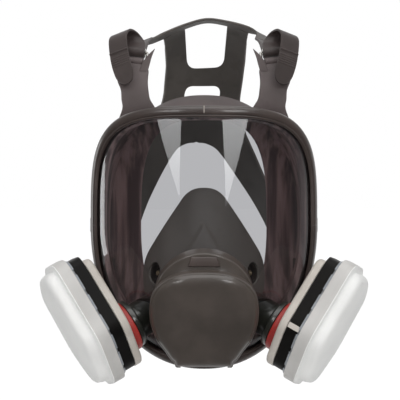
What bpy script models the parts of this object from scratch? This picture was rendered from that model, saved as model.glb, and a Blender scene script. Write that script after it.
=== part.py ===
"""Full-face respirator mask with two bayonet cartridges and a four-strap rubber head harness.

Metres. X points to the viewer's right, the front faces -Y and Z is up. The origin is the middle of
the opening that the face goes into, level with the two side joints of the lens frame.
"""

import math

import bmesh
import bpy
from mathutils import Vector

# Clearances
GAP = 0.0003
LOOSE_GAP = 0.0005

# Lens: a bowed visor whose edge is a superellipse, squarer above the side joints than below them
LENS_HALF_WIDTH = 0.0910
LENS_TOP = 0.0940
LENS_CHIN = 0.1150
LENS_TOP_POWER = 4.0
LENS_CHIN_POWER = 2.2
LENS_THICK = 0.0022
LENS_EDGE_Y = -0.0280
LENS_BOW = 0.0680
LENS_BOW_MARGIN = 0.0050
LENS_TAPER = 0.45
LENS_LEAN_TOP = 0.0140
LENS_LEAN_CHIN = 0.0340
LENS_RINGS = (0.16, 0.40, 0.62, 0.79, 0.91, 1.0)
STATIONS = 44
CUTTER_DEPTH = 0.0400
CUTTER_SKIRT = 0.0200

# Frame: a channel round the lens edge, in two halves that meet at the sides
FRAME_WALL = 0.0027
FRAME_LIP = 0.0070
FRAME_REAR_LIP = 0.0033
BEAD_DEPTH = 0.0036
BEAD_SLOPE = 0.0014
JOINT_GAP = 0.0004
LUG_LENGTH = 0.0065
LUG_REACH = 0.0110
SCREW_RADIUS = 0.0015
SCREW_HEAD_RADIUS = 0.0028
SCREW_HEAD_HEIGHT = 0.0018
NUT_RADIUS = 0.0031
NUT_HEIGHT = 0.0024

# Faceseal: from the bead in the frame to a rear rim, then turned in to the face opening
SEAL_THICK = 0.0026
RIM_HALF_WIDTH = 0.0840
RIM_TOP = 0.1090
RIM_CHIN = 0.1050
OPENING_HALF_WIDTH = 0.0540
OPENING_TOP = 0.0880
OPENING_CHIN = 0.0950
RIM_POWER = 2.3
FACE_FRONT_Y = -0.0380
RIM_WRAP = 0.0430
OPENING_WRAP = 0.0330
TAB_THICK = 0.0030

# Buckles, rollers and straps
BUCKLE_WIRE = 0.0013
BUCKLE_HALF_WIDTH = 0.0112
BUCKLE_REACH = 0.0112
HEM_RADIUS = 0.0034
HEM_LENGTH = 0.0180
ROLLER_RADIUS = 0.0031
ROLLER_LENGTH = 0.0190
STRAP_THICK = 0.0018
STRAP_HALF_WIDTH = 0.0088

# Centre adapter, exhalation valve and cover, on an axis that tips down
ADAPTER_Z = -0.0650
ADAPTER_TIP = math.radians(20.0)
ADAPTER_TUBE = 0.0220
ADAPTER_WALL = 0.0025
ADAPTER_FLANGE = 0.0400
ADAPTER_FLANGE_RISE = 0.0080
ADAPTER_FRONT = 0.0090
ADAPTER_DEPTH = 0.0215
ADAPTER_SEAT = 0.0040
ADAPTER_NUT_FRONT = -0.0098
ADAPTER_NUT_BACK = -0.0152
ADAPTER_NUT_RADIUS = 0.0285
GASKET_WALL = 0.0017
GASKET_FRONT = -0.0032
VALVE_RADIUS = 0.0170
VALVE_THICK = 0.0012
VALVE_LIFT = 0.0015
VALVE_ROOM = 0.0015
STEM_RADIUS = 0.0014
HUB_RADIUS = 0.0040
HUB_THICK = 0.0020
SPOKES = 3
COVER_HALF_WIDTH = 0.0438
COVER_RISE = 0.0345
COVER_POWER = 2.5
COVER_DROP = 0.0480
COVER_OUTLET_HALF_WIDTH = 0.0230
COVER_DEPTH = 0.0140
COVER_WALL = 0.0020
COVER_SEAT_SCALE = 0.82

# Bayonet ports: each axis points outwards, a little forwards and down
PORT_SPACING = 0.0215
PORT_Z = -0.0750
PORT_AXIS = Vector((0.833, -0.290, -0.471)).normalized()
PORT_BOSS = 0.0175
PORT_NECK = 0.0150
PORT_TUBE = 0.0120
PORT_WALL = 0.0020
PORT_HEIGHT = 0.0144
PORT_INSIDE = 0.0178
PORT_NUT = 0.0148
PORT_GASKET = 0.0048
PORT_GASKET_RADIUS = 0.0198
PORT_LUG = 0.0028
PORT_LUG_THICK = 0.0025
PORT_LUG_ANGLE = math.radians(40.0)
PORT_LUG_COUNT = 3
PORT_LUG_TURN = math.radians(4.0)

# Cartridges: outline across the port axis, long side first, measured from the cartridge's middle
CARTRIDGE_LONG = Vector((-0.494, -0.006, -0.870))
CARTRIDGE_OFFSET = -0.0190
CARTRIDGE_HALF_LENGTH = 0.0500
CARTRIDGE_HALF_WIDTH = 0.0380
CARTRIDGE_CORNER = 0.0130
CARTRIDGE_SHAPE = (
    (-1.00, 0.79),
    (0.32, 1.00),
    (1.00, 0.32),
    (1.00, -0.53),
    (0.36, -1.00),
    (-0.80, -0.90),
    (-1.04, -0.26),
)
CARTRIDGE_POINTS = 32
CARTRIDGE_WALL = 0.0018
CARTRIDGE_FLOOR = 0.0020
BACK_HEIGHT = 0.0070
BACK_FOOT = 0.0060
CAN_HEIGHT = 0.0165
CAN_STEP = 0.0008
CAN_HOLE = 0.0170
GRILLE_THICK = 0.0014
PREFILTER_THICK = 0.0040
RETAINER_LIP = 0.0034
RETAINER_SKIRT = 0.0045
RETAINER_DOME = 0.0180

# Nose cup: from a collar on the adapter out to a pear-shaped rim over nose, cheeks and chin
CUP_THICK = 0.0018
CUP_POINTS = 32
CUP_RIM_TOP = 0.0310
CUP_RIM_CHIN = -0.0880
CUP_RIM_HALF_WIDTH = 0.0490
CUP_RIM_Y = -0.0450
CUP_RIM_WRAP = 0.0200
CUP_MIDDLE_Z = -0.0380
CUP_SEAT_RADIUS = 0.0088
CUP_SEAT_TURN = math.radians(8.0)
CUP_SEAT_SHARE = 0.62

# Head harness: a cradle on an adult head, with its legs' half spacings and its cross levels
HEAD_Y = 0.0850
HEAD_Z = 0.0450
HEAD_HALF_WIDTH = 0.0780
HEAD_HALF_DEPTH = 0.0980
HEAD_HALF_HEIGHT = 0.1380
HARNESS_THICK = 0.0022
SEAM_GAP = 0.0006
LEG_IN = 0.0190
LEG_OUT = 0.0370
HEAD_TOP = HEAD_Z + HEAD_HALF_HEIGHT
LEG_TOP = HEAD_TOP - 0.0150
CROSSBAR_TOP = HEAD_TOP - 0.0260
CROSSBAR_BASE = HEAD_TOP - 0.0450
PLATE_TOP = HEAD_TOP - 0.0700
ARCH_MIDDLE = HEAD_TOP - 0.1060
ARCH_SIDE = HEAD_TOP - 0.1150
CROWN_FRONT = (
    Vector((0.0, 0.0620, HEAD_TOP + 0.0040)),
    Vector((LEG_IN, 0.0600, HEAD_TOP)),
    Vector((0.0370, 0.0540, HEAD_TOP - 0.0070)),
    Vector((0.0450, 0.0400, HEAD_TOP - 0.0140)),
    Vector((0.0450, 0.0210, HEAD_TOP - 0.0200)),
)
CROWN_BACK = (
    Vector((0.0, 0.0900, HEAD_TOP + 0.0030)),
    Vector((LEG_IN, 0.0890, HEAD_TOP - 0.0010)),
    Vector((LEG_OUT, 0.0840, HEAD_TOP - 0.0090)),
    Vector((0.0520, 0.0600, HEAD_TOP - 0.0170)),
    Vector((0.0610, 0.0250, HEAD_TOP - 0.0250)),
)
LOWER_LEG_OUT = ((0.0480, 0.0860), (0.0590, 0.0560), (0.0690, 0.0240))
LOWER_LEG_IN = ((0.0470, 0.0280), (0.0600, 0.0))
NAPE_OUT = Vector((0.0765, 0.0945, -0.0145))
NAPE_IN = Vector((0.0735, 0.0935, -0.0380))

UP = Vector((0.0, 0.0, 1.0))
RIGHT = Vector((1.0, 0.0, 0.0))
SIDES = (("left", -1.0), ("right", 1.0))


def clear_scene():
    for old in list(bpy.data.objects):
        bpy.data.objects.remove(old, do_unlink=True)


def finish(name, colour, roughness, metallic=0.0, alpha=1.0):
    """A plain Principled material in one colour."""
    material = bpy.data.materials.new(name)
    material.use_nodes = True
    shader = material.node_tree.nodes["Principled BSDF"]
    shader.inputs["Base Color"].default_value = (*colour, 1.0)
    shader.inputs["Roughness"].default_value = roughness
    shader.inputs["Metallic"].default_value = metallic
    shader.inputs["Alpha"].default_value = alpha
    return material


def solid(name, rings, material, joined=False, origin=None):
    """One closed body through rings of equal length, joined end to end or capped at both ends."""
    count = len(rings[0])
    work = bmesh.new()
    grid = [[work.verts.new(point) for point in ring] for ring in rings]
    last = len(rings) if joined else len(rings) - 1
    for i in range(last):
        here = grid[i]
        there = grid[(i + 1) % len(rings)]
        for j in range(count):
            k = (j + 1) % count
            work.faces.new((here[j], here[k], there[k], there[j]))
    if not joined:
        work.faces.new(grid[0])
        work.faces.new(grid[-1])
    bmesh.ops.recalc_face_normals(work, faces=work.faces)
    if work.calc_volume(signed=True) < 0.0:
        bmesh.ops.reverse_faces(work, faces=work.faces)
    mesh = bpy.data.meshes.new(name)
    work.to_mesh(mesh)
    work.free()
    mesh.shade_smooth()
    mesh.set_sharp_from_angle(angle=math.radians(35.0))
    body = bpy.data.objects.new(name, mesh)
    bpy.context.scene.collection.objects.link(body)
    if material:
        mesh.materials.append(material)
    if origin is not None:
        for vertex in mesh.vertices:
            vertex.co -= origin
        body.location = origin
    return body


def guide(body):
    """Keeps a cutter or a shape to be joined out of the finished model."""
    body.hide_render = True
    body.display_type = "WIRE"
    return body


def combine(body, other, operation, solver="EXACT"):
    change = body.modifiers.new(other.name, "BOOLEAN")
    change.operation = operation
    change.solver = solver
    change.object = guide(other)


def placer(origin, across, along, axis):
    """Maps a point given along three directions from an origin into the world."""
    def place(a, b, c):
        return origin + across * a + along * b + axis * c
    return place


def mirrored(points, side):
    return [Vector((point.x * side, point.y, point.z)) for point in points]


def circle(place, radius, height, count):
    turns = [2.0 * math.pi * i / count for i in range(count)]
    return [place(radius * math.cos(turn), radius * math.sin(turn), height) for turn in turns]


def turned(name, place, profile, material, side=1.0, hollow=False, count=20, origin=None):
    """A body of revolution from (radius, height) pairs; a hollow one joins its last pair to its first."""
    rings = [mirrored(circle(place, radius, height, count), side) for radius, height in profile]
    return solid(name, rings, material, joined=hollow, origin=origin)


def resampled(points, count, closed):
    """Points at equal steps along a polyline."""
    path = list(points) + ([points[0]] if closed else [])
    lengths = [(b - a).length for a, b in zip(path, path[1:])]
    steps = count if closed else count - 1
    step = sum(lengths) / steps
    result = []
    segment = 0
    passed = 0.0
    for i in range(count):
        wanted = i * step
        while segment < len(lengths) - 1 and passed + lengths[segment] < wanted:
            passed += lengths[segment]
            segment += 1
        share = (wanted - passed) / lengths[segment]
        result.append(path[segment].lerp(path[segment + 1], min(share, 1.0)))
    return result


def oval_reach(turn, half_width, above, below, power_above, power_below):
    """Distance from the middle to a superellipse edge in one direction."""
    across = math.cos(turn)
    upward = math.sin(turn)
    height = above if upward >= 0.0 else below
    power = power_above if upward >= 0.0 else power_below
    total = abs(across / half_width) ** power + abs(upward / height) ** power
    return total ** (-1.0 / power)


# Lens surface and the stations round its edge

LENS_BOW_HALF_WIDTH = LENS_HALF_WIDTH + LENS_BOW_MARGIN


def lens_y(x, z):
    taper = LENS_TAPER * (z / LENS_CHIN) ** 2 if z < 0.0 else 0.0
    half_width = LENS_BOW_HALF_WIDTH * (1.0 - taper)
    bow = LENS_BOW * math.sqrt(max(1.0 - (x / half_width) ** 2, 0.0001))
    lean = LENS_LEAN_TOP * (z / LENS_TOP) ** 2 if z > 0.0 else LENS_LEAN_CHIN * (z / LENS_CHIN) ** 2
    return LENS_EDGE_Y - bow + lean


def lens_point(x, z):
    return Vector((x, lens_y(x, z), z))


def lens_normal(x, z):
    step = 0.0005
    slope_x = (lens_y(x + step, z) - lens_y(x - step, z)) / (2.0 * step)
    slope_z = (lens_y(x, z + step) - lens_y(x, z - step)) / (2.0 * step)
    return Vector((slope_x, -1.0, slope_z)).normalized()


def edge_outline():
    """Stations at equal steps round the lens edge, from the right joint over the top, as (x, z)."""
    fine = 180
    halves = []
    for first in (0.0, math.pi):
        points = []
        for i in range(fine + 1):
            turn = first + math.pi * i / fine
            reach = oval_reach(turn, LENS_HALF_WIDTH, LENS_TOP, LENS_CHIN, LENS_TOP_POWER, LENS_CHIN_POWER)
            points.append(Vector((reach * math.cos(turn), reach * math.sin(turn))))
        halves.append(resampled(points, STATIONS // 2 + 1, closed=False)[:-1])
    return halves[0] + halves[1]


OUTLINE = edge_outline()


class Station:
    """A place on the lens edge: its point, and the directions along, away from and behind the edge."""

    def __init__(self, index):
        x, z = OUTLINE[index % STATIONS]
        after = OUTLINE[(index + 1) % STATIONS]
        before = OUTLINE[(index - 1) % STATIONS]
        self.turn = math.atan2(z, x)
        self.point = lens_point(x, z)
        self.back = -lens_normal(x, z)
        along = lens_point(*after) - lens_point(*before)
        self.along = (along - self.back * along.dot(self.back)).normalized()
        self.away = self.along.cross(self.back).normalized()
        middle = Vector((x, 0.0, z))
        if self.away.dot(middle) < 0.0:
            self.away = -self.away

    def at(self, away, back, along=0.0):
        return self.point + self.away * away + self.back * back + self.along * along


EDGE = [Station(i) for i in range(STATIONS)]


def lens_ring(scale, offset):
    points = []
    for x, z in OUTLINE:
        points.append(lens_point(x * scale, z * scale) + lens_normal(x * scale, z * scale) * offset)
    return points


def lens_cutter(name, offset, depth):
    """A thick slab whose one face follows the lens at an offset and goes on flat past its edge."""
    face = [lens_ring(scale, offset) for scale in LENS_RINGS]
    skirt = [point + Vector((point.x, 0.0, point.z)).normalized() * CUTTER_SKIRT for point in face[-1]]
    face.append(skirt)
    shift = Vector((0.0, depth, 0.0))
    far = [[point + shift for point in ring] for ring in reversed(face)]
    return guide(solid(name, face + far, None))


clear_scene()

# Finishes

RUBBER = finish("grey_rubber", (0.105, 0.082, 0.080), 0.60)
DARK_RUBBER = finish("dark_rubber", (0.042, 0.038, 0.034), 0.62)
FRAME_PLASTIC = finish("frame_plastic", (0.072, 0.056, 0.050), 0.42)
COVER_PLASTIC = finish("cover_plastic", (0.085, 0.068, 0.060), 0.45)
CLEAR = finish("clear_lens", (0.90, 0.92, 0.93), 0.04, alpha=0.15)
RED_RUBBER = finish("red_gasket", (0.45, 0.030, 0.025), 0.50)
CREAM = finish("cream_plastic", (0.63, 0.55, 0.47), 0.50)
BAND = finish("label_band", (0.012, 0.011, 0.010), 0.35)
WHITE = finish("retainer_plastic", (0.78, 0.77, 0.74), 0.40)
FELT = finish("filter_felt", (0.80, 0.78, 0.72), 0.95)
CARBON = finish("carbon_bed", (0.015, 0.015, 0.015), 0.95)
STEEL = finish("buckle_steel", (0.55, 0.55, 0.55), 0.28, metallic=1.0)
VALVE = finish("valve_rubber", (0.30, 0.24, 0.16), 0.55)


def ribbon(name, rows, thick, material, side=1.0):
    """A flat strip through rows of (middle, half width vector)."""
    rings = []
    for i, (middle, half) in enumerate(rows):
        after = rows[min(i + 1, len(rows) - 1)][0]
        before = rows[max(i - 1, 0)][0]
        normal = (after - before).cross(half).normalized() * (thick / 2.0)
        edges = ((half, normal), (-half, normal), (-half, -normal), (half, -normal))
        rings.append(mirrored([middle + sideways + up for sideways, up in edges], side))
    return solid(name, rings, material)


def block(name, place, low, high, side=1.0):
    """A box between two corners of a placed frame, for joining or cutting."""
    corners = ((low[0], low[1]), (high[0], low[1]), (high[0], high[1]), (low[0], high[1]))
    rings = [mirrored([place(a, b, level) for a, b in corners], side) for level in (low[2], high[2])]
    return solid(name, rings, None)


# Lens

OUTER_RINGS = [lens_ring(scale, 0.0) for scale in LENS_RINGS]
INNER_RINGS = [lens_ring(scale, -LENS_THICK) for scale in reversed(LENS_RINGS)]
LENS = solid("lens", OUTER_RINGS + INNER_RINGS, CLEAR)
BEHIND_LENS = lens_cutter("behind_lens", LOOSE_GAP, CUTTER_DEPTH)
BEFORE_LENS = lens_cutter("before_lens", -LENS_THICK - LOOSE_GAP, -CUTTER_DEPTH)


# Frame halves with their joint lugs, screws and nuts

FRAME_OUTER = GAP + FRAME_WALL
CHANNEL_BACK = LENS_THICK + GAP + BEAD_DEPTH + GAP
FRAME_BACK = CHANNEL_BACK + FRAME_WALL * 0.7
FRAME_SECTION = (
    (-FRAME_LIP, -FRAME_WALL),
    (FRAME_OUTER * 0.6, -GAP - FRAME_WALL),
    (FRAME_OUTER, -FRAME_WALL * 0.5),
    (FRAME_OUTER, FRAME_BACK),
    (-FRAME_REAR_LIP, FRAME_BACK),
    (-FRAME_REAR_LIP, CHANNEL_BACK),
    (GAP, CHANNEL_BACK),
    (GAP, -GAP),
    (-FRAME_LIP, -GAP),
)
LUG_MIDDLE = (FRAME_OUTER + LUG_REACH) / 2.0
LUG_BACK = FRAME_BACK * 0.75


def frame_half(name, first):
    last = first + STATIONS // 2
    rings = []
    for i in range(first, last + 1):
        shift = JOINT_GAP if i == first else -JOINT_GAP if i == last else 0.0
        station = EDGE[i % STATIONS]
        rings.append([station.at(away, back, shift) for away, back in FRAME_SECTION])
    return solid(name, rings, FRAME_PLASTIC)


def joint_place(station):
    """The screw axis at a side joint, pointing up."""
    upright = station.along if station.along.z > 0.0 else -station.along
    return placer(station.at(LUG_MIDDLE, LUG_BACK / 2.0), station.away, station.back, upright)


def frame():
    upper = frame_half("upper_frame", 0)
    lower = frame_half("lower_frame", STATIONS // 2)
    half_reach = (LUG_REACH - FRAME_OUTER) / 2.0
    root = half_reach + FRAME_WALL * 0.6
    for name, index in (("right", 0), ("left", STATIONS // 2)):
        place = joint_place(EDGE[index])
        for half, low, high in ((upper, JOINT_GAP, LUG_LENGTH), (lower, -LUG_LENGTH, -JOINT_GAP)):
            corners = ((-root, -LUG_BACK / 2.0, low), (half_reach, LUG_BACK / 2.0, high))
            combine(half, block(f"{half.name}_lug_{name}", place, *corners), "UNION")
            reach = LUG_LENGTH * 2.0
            hole = [(SCREW_RADIUS + GAP, -reach), (SCREW_RADIUS + GAP, reach)]
            combine(half, turned(f"{half.name}_hole_{name}", place, hole, None, count=12), "DIFFERENCE")
        seat = LUG_LENGTH + GAP
        screw = [
            (SCREW_RADIUS, -seat - NUT_HEIGHT - GAP),
            (SCREW_RADIUS, seat),
            (SCREW_HEAD_RADIUS, seat),
            (SCREW_HEAD_RADIUS, seat + SCREW_HEAD_HEIGHT),
        ]
        turned(f"frame_screw_{name}", place, screw, STEEL, count=12)
        bore = SCREW_RADIUS + GAP
        nut_end = -seat - NUT_HEIGHT
        nut = [(bore, -seat), (NUT_RADIUS, -seat), (NUT_RADIUS, nut_end), (bore, nut_end)]
        turned(f"frame_nut_{name}", place, nut, STEEL, hollow=True, count=12)


frame()


# Faceseal with its four strap tabs

BEAD_FRONT = LENS_THICK + GAP
NECK_AWAY = -(FRAME_REAR_LIP + GAP)
NECK_BACK = FRAME_BACK + LOOSE_GAP


def seal_edge(turn, half_width, above, below, wrap):
    reach = oval_reach(turn, half_width, above, below, RIM_POWER, RIM_POWER)
    x = reach * math.cos(turn)
    return Vector((x, FACE_FRONT_Y + wrap * (x / half_width) ** 2, reach * math.sin(turn)))


def seal_section(station):
    rim = seal_edge(station.turn, RIM_HALF_WIDTH, RIM_TOP, RIM_CHIN, RIM_WRAP)
    opening = seal_edge(station.turn, OPENING_HALF_WIDTH, OPENING_TOP, OPENING_CHIN, OPENING_WRAP)
    outward = Vector((rim.x, 0.0, rim.z)).normalized()
    forward = Vector((0.0, -SEAL_THICK, 0.0))
    inward = outward * -SEAL_THICK
    neck = station.at(NECK_AWAY, NECK_BACK)
    waist = neck.lerp(rim, 0.5) + outward * SEAL_THICK
    return [
        station.at(0.0, BEAD_FRONT),
        station.at(0.0, BEAD_FRONT + BEAD_DEPTH),
        station.at(NECK_AWAY, BEAD_FRONT + BEAD_DEPTH),
        neck,
        waist,
        rim,
        opening,
        opening + forward * 0.6,
        rim + inward + forward,
        waist + inward,
        station.at(NECK_AWAY - SEAL_THICK, NECK_BACK),
        station.at(NECK_AWAY - SEAL_THICK, BEAD_FRONT + BEAD_SLOPE),
    ]


class Buckle:
    """Where one strap meets the faceseal: the hem axis of the tab, the pull and the width directions."""

    def __init__(self, level, hem, pull, width):
        self.level = level
        self.hem = hem
        self.pull = pull.normalized()
        self.width = (width - self.pull * width.dot(self.pull)).normalized()
        self.out = self.width.cross(self.pull).normalized()
        self.bar = self.hem + self.pull * BUCKLE_REACH


def beside_rim(reach, y, z):
    """A point beside the seal's rear rim on the right, placed by how far it lies outside the rim."""
    return Vector((RIM_HALF_WIDTH + reach, y, z))


UPPER = Buckle("upper", Vector((0.060, -0.031, 0.138)), Vector((-0.12, 0.62, 0.77)), RIGHT)
LOWER = Buckle("lower", beside_rim(-0.0015, 0.021, -0.050), Vector((0.12, 0.985, -0.10)), -UP)

UPPER_TAB = (
    (Vector((0.0555, -0.0420, 0.0885)), RIGHT * 0.0150),
    (Vector((0.0565, -0.0430, 0.1020)), RIGHT * 0.0122),
    (Vector((0.0580, -0.0415, 0.1127)), RIGHT * 0.0116),
    (Vector((0.0597, -0.0373, 0.1235)), RIGHT * 0.0131),
    (Vector((0.0590, -0.0340, 0.1310)), RIGHT * 0.0122),
    (UPPER.hem, RIGHT * (HEM_LENGTH / 2.0)),
)
LOWER_TAB = (
    (beside_rim(-0.0060, -0.0070, -0.0440), UP * -0.0150),
    (beside_rim(-0.0035, 0.0060, -0.0460), UP * -0.0120),
    (beside_rim(-0.0020, 0.0150, -0.0490), UP * -0.0100),
    (LOWER.hem, LOWER.width * (HEM_LENGTH / 2.0)),
)


def faceseal():
    body = solid("faceseal", [seal_section(station) for station in EDGE], RUBBER, joined=True)
    half = HEM_LENGTH / 2.0
    for name, side in SIDES:
        for buckle, rows in ((UPPER, UPPER_TAB), (LOWER, LOWER_TAB)):
            label = f"{buckle.level}_{name}"
            combine(body, ribbon(f"tab_{label}", rows, TAB_THICK, None, side), "UNION")
            place = placer(buckle.hem, buckle.pull, buckle.out, buckle.width)
            hem = [(HEM_RADIUS, -half), (HEM_RADIUS, half)]
            combine(body, turned(f"hem_{label}", place, hem, None, side, count=14), "UNION")
            bore = [(BUCKLE_WIRE + LOOSE_GAP, -2.0 * half), (BUCKLE_WIRE + LOOSE_GAP, 2.0 * half)]
            combine(body, turned(f"bore_{label}", place, bore, None, side, count=14), "DIFFERENCE")


faceseal()


# Buckles, rollers and strap ends

def wire_ring(name, buckle, side):
    """The closed wire frame of a buckle, round its hem bar and its roller bar."""
    cut = BUCKLE_WIRE * 1.5
    w = BUCKLE_HALF_WIDTH
    r = BUCKLE_REACH
    left = [(cut - w, 0.0), (-w, cut), (-w, r - cut), (cut - w, r)]
    path = left + [(-a, b) for a, b in reversed(left)]
    points = [buckle.hem + buckle.width * a + buckle.pull * b for a, b in path]
    rings = []
    for i, point in enumerate(points):
        along = (points[(i + 1) % len(points)] - points[i - 1]).normalized()
        place = placer(point, along.cross(buckle.out), buckle.out, along)
        rings.append(mirrored(circle(place, BUCKLE_WIRE, 0.0, 8), side))
    origin = mirrored([buckle.hem], side)[0]
    return solid(name, rings, STEEL, joined=True, origin=origin)


def strap_rows(buckle, end, approach, tail):
    """Rows from the cradle's end to the roller, round it and out to the pull tab."""
    middle = (end[0] + end[1]) / 2.0
    seam = middle + (approach[0][0] - middle).normalized() * SEAM_GAP
    start = [(seam, (end[1] - end[0]) / 2.0)]
    radius = ROLLER_RADIUS + LOOSE_GAP + STRAP_THICK / 2.0
    half = buckle.width * STRAP_HALF_WIDTH
    wrap = []
    for degrees in range(-90, -271, -30):
        turn = math.radians(degrees)
        around = buckle.pull * math.cos(turn) + buckle.out * math.sin(turn)
        wrap.append((buckle.bar + around * radius, half))
    return start + list(approach) + wrap + list(tail)


UPPER_APPROACH = (
    (Vector((0.0555, 0.0080, 0.1550)), Vector((0.0086, 0.0010, -0.0012))),
    (Vector((0.0575, -0.0080, 0.1490)), Vector((0.0088, 0.0, 0.0))),
)
TAIL_HALF = Vector((0.0066, 0.0042, -0.0038))
UPPER_TAIL = (
    (Vector((0.0590, -0.0215, 0.1550)), Vector((0.0088, 0.0, 0.0))),
    (Vector((0.0632, -0.0200, 0.1608)), Vector((0.0078, 0.0026, -0.0024))),
    (Vector((0.0668, -0.0268, 0.1622)), TAIL_HALF),
    (Vector((0.0690, -0.0345, 0.1580)), TAIL_HALF),
    (Vector((0.0685, -0.0400, 0.1480)), TAIL_HALF),
    (Vector((0.0665, -0.0440, 0.1360)), TAIL_HALF),
    (Vector((0.0640, -0.0470, 0.1260)), TAIL_HALF),
    (Vector((0.0622, -0.0485, 0.1185)), TAIL_HALF * 0.55),
)
LOWER_APPROACH = (
    (Vector((0.0785, 0.0740, -0.0340)), Vector((-0.0006, 0.0, -0.0095))),
    (beside_rim(-0.0040, 0.0520, -0.0450), Vector((0.0, 0.0, -0.0088))),
)
LOWER_TAIL = (
    (beside_rim(0.0050, 0.0460, -0.0530), Vector((0.0, 0.0, -0.0088))),
    (beside_rim(0.0065, 0.0590, -0.0550), Vector((0.0, 0.0, -0.0086))),
    (beside_rim(0.0065, 0.0730, -0.0570), Vector((0.0, 0.0, -0.0082))),
)


def buckles():
    for name, side in SIDES:
        upper = (UPPER, (CROWN_FRONT[-1], CROWN_BACK[-1]), UPPER_APPROACH, UPPER_TAIL)
        lower = (LOWER, (NAPE_OUT, NAPE_IN), LOWER_APPROACH, LOWER_TAIL)
        for buckle, *route in (upper, lower):
            label = f"{buckle.level}_{name}"
            wire_ring(f"buckle_frame_{label}", buckle, side)
            place = placer(buckle.bar, buckle.pull, buckle.out, buckle.width)
            half = ROLLER_LENGTH / 2.0
            bore = BUCKLE_WIRE + LOOSE_GAP
            tube = [(bore, -half), (ROLLER_RADIUS, -half), (ROLLER_RADIUS, half), (bore, half)]
            axis = mirrored([buckle.bar], side)[0]
            turned(f"buckle_roller_{label}", place, tube, STEEL, side, hollow=True, count=14, origin=axis)
            ribbon(f"strap_{label}", strap_rows(buckle, *route), STRAP_THICK, DARK_RUBBER, side)


buckles()


# Directions of the right bayonet port, which the left one mirrors

PORT_CENTRE = lens_point(ADAPTER_NUT_RADIUS + PORT_SPACING, PORT_Z)
PORT_LONG = (CARTRIDGE_LONG - PORT_AXIS * CARTRIDGE_LONG.dot(PORT_AXIS)).normalized()
PORT_FRONT = PORT_LONG.cross(PORT_AXIS).normalized()
PORT_FRONT = PORT_FRONT if PORT_FRONT.y < 0.0 else -PORT_FRONT
PORT_PLACE = placer(PORT_CENTRE, PORT_LONG, PORT_FRONT, PORT_AXIS)
PORT_INWARD = placer(PORT_CENTRE, PORT_LONG, PORT_FRONT, -PORT_AXIS)


# Centre adapter with its gasket, nut, exhalation valve and cover

TIP_COS = math.cos(ADAPTER_TIP)
TIP_SIN = math.sin(ADAPTER_TIP)
ADAPTER_AXIS = Vector((0.0, -TIP_COS, -TIP_SIN))
ADAPTER_UP = Vector((0.0, -TIP_SIN, TIP_COS))
ADAPTER_CENTRE = lens_point(0.0, ADAPTER_Z)
ADAPTER_PLACE = placer(ADAPTER_CENTRE, RIGHT, ADAPTER_UP, ADAPTER_AXIS)
FLANGE_PLACE = placer(ADAPTER_CENTRE + ADAPTER_UP * ADAPTER_FLANGE_RISE, RIGHT, ADAPTER_UP, ADAPTER_AXIS)
ADAPTER_HOLE = ADAPTER_TUBE + GAP + GASKET_WALL + GAP


def spider(body, place, seat, reach, side=1.0):
    """Joins a hub on three spokes, which carry a valve stem, to a valve seat."""
    low = seat - HUB_THICK
    bore = STEM_RADIUS + LOOSE_GAP
    hub = [(bore, low), (HUB_RADIUS, low), (HUB_RADIUS, seat), (bore, seat)]
    middle = turned(f"{body.name}_hub", place, hub, None, side, hollow=True, count=10)
    combine(body, middle, "UNION", "MANIFOLD")
    for i in range(SPOKES):
        turn = 2.0 * math.pi * i / SPOKES
        along = place(math.cos(turn), math.sin(turn), 0.0) - place(0.0, 0.0, 0.0)
        across = place(-math.sin(turn), math.cos(turn), 0.0) - place(0.0, 0.0, 0.0)
        axis = place(0.0, 0.0, 1.0) - place(0.0, 0.0, 0.0)
        spoke = placer(place(0.0, 0.0, 0.0), along, across, axis)
        inner = (HUB_RADIUS + bore) / 2.0
        half = HUB_THICK / 2.0
        corners = ((inner, -half, low + GAP), (reach, half, seat - GAP))
        combine(body, block(f"{body.name}_spoke_{i}", spoke, *corners, side), "UNION", "MANIFOLD")


def mushroom(name, place, seat, radius, side=1.0, origin=None):
    """A rubber flap valve on its seat, with a stem through the hub and a bulb that keeps it there."""
    bulb = seat - HUB_THICK - VALVE_LIFT - LOOSE_GAP
    base = seat + GAP
    profile = [
        (STEM_RADIUS * 0.5, bulb - STEM_RADIUS * 1.5),
        (STEM_RADIUS * 1.6, bulb - STEM_RADIUS * 0.7),
        (STEM_RADIUS * 1.6, bulb),
        (STEM_RADIUS, bulb),
        (STEM_RADIUS, base),
        (radius, base),
        (radius, base + VALVE_THICK * 0.5),
        (radius * 0.4, base + VALVE_THICK),
        (STEM_RADIUS * 0.5, base + VALVE_THICK),
    ]
    return turned(name, place, profile, VALVE, side, count=14, origin=origin)


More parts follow.
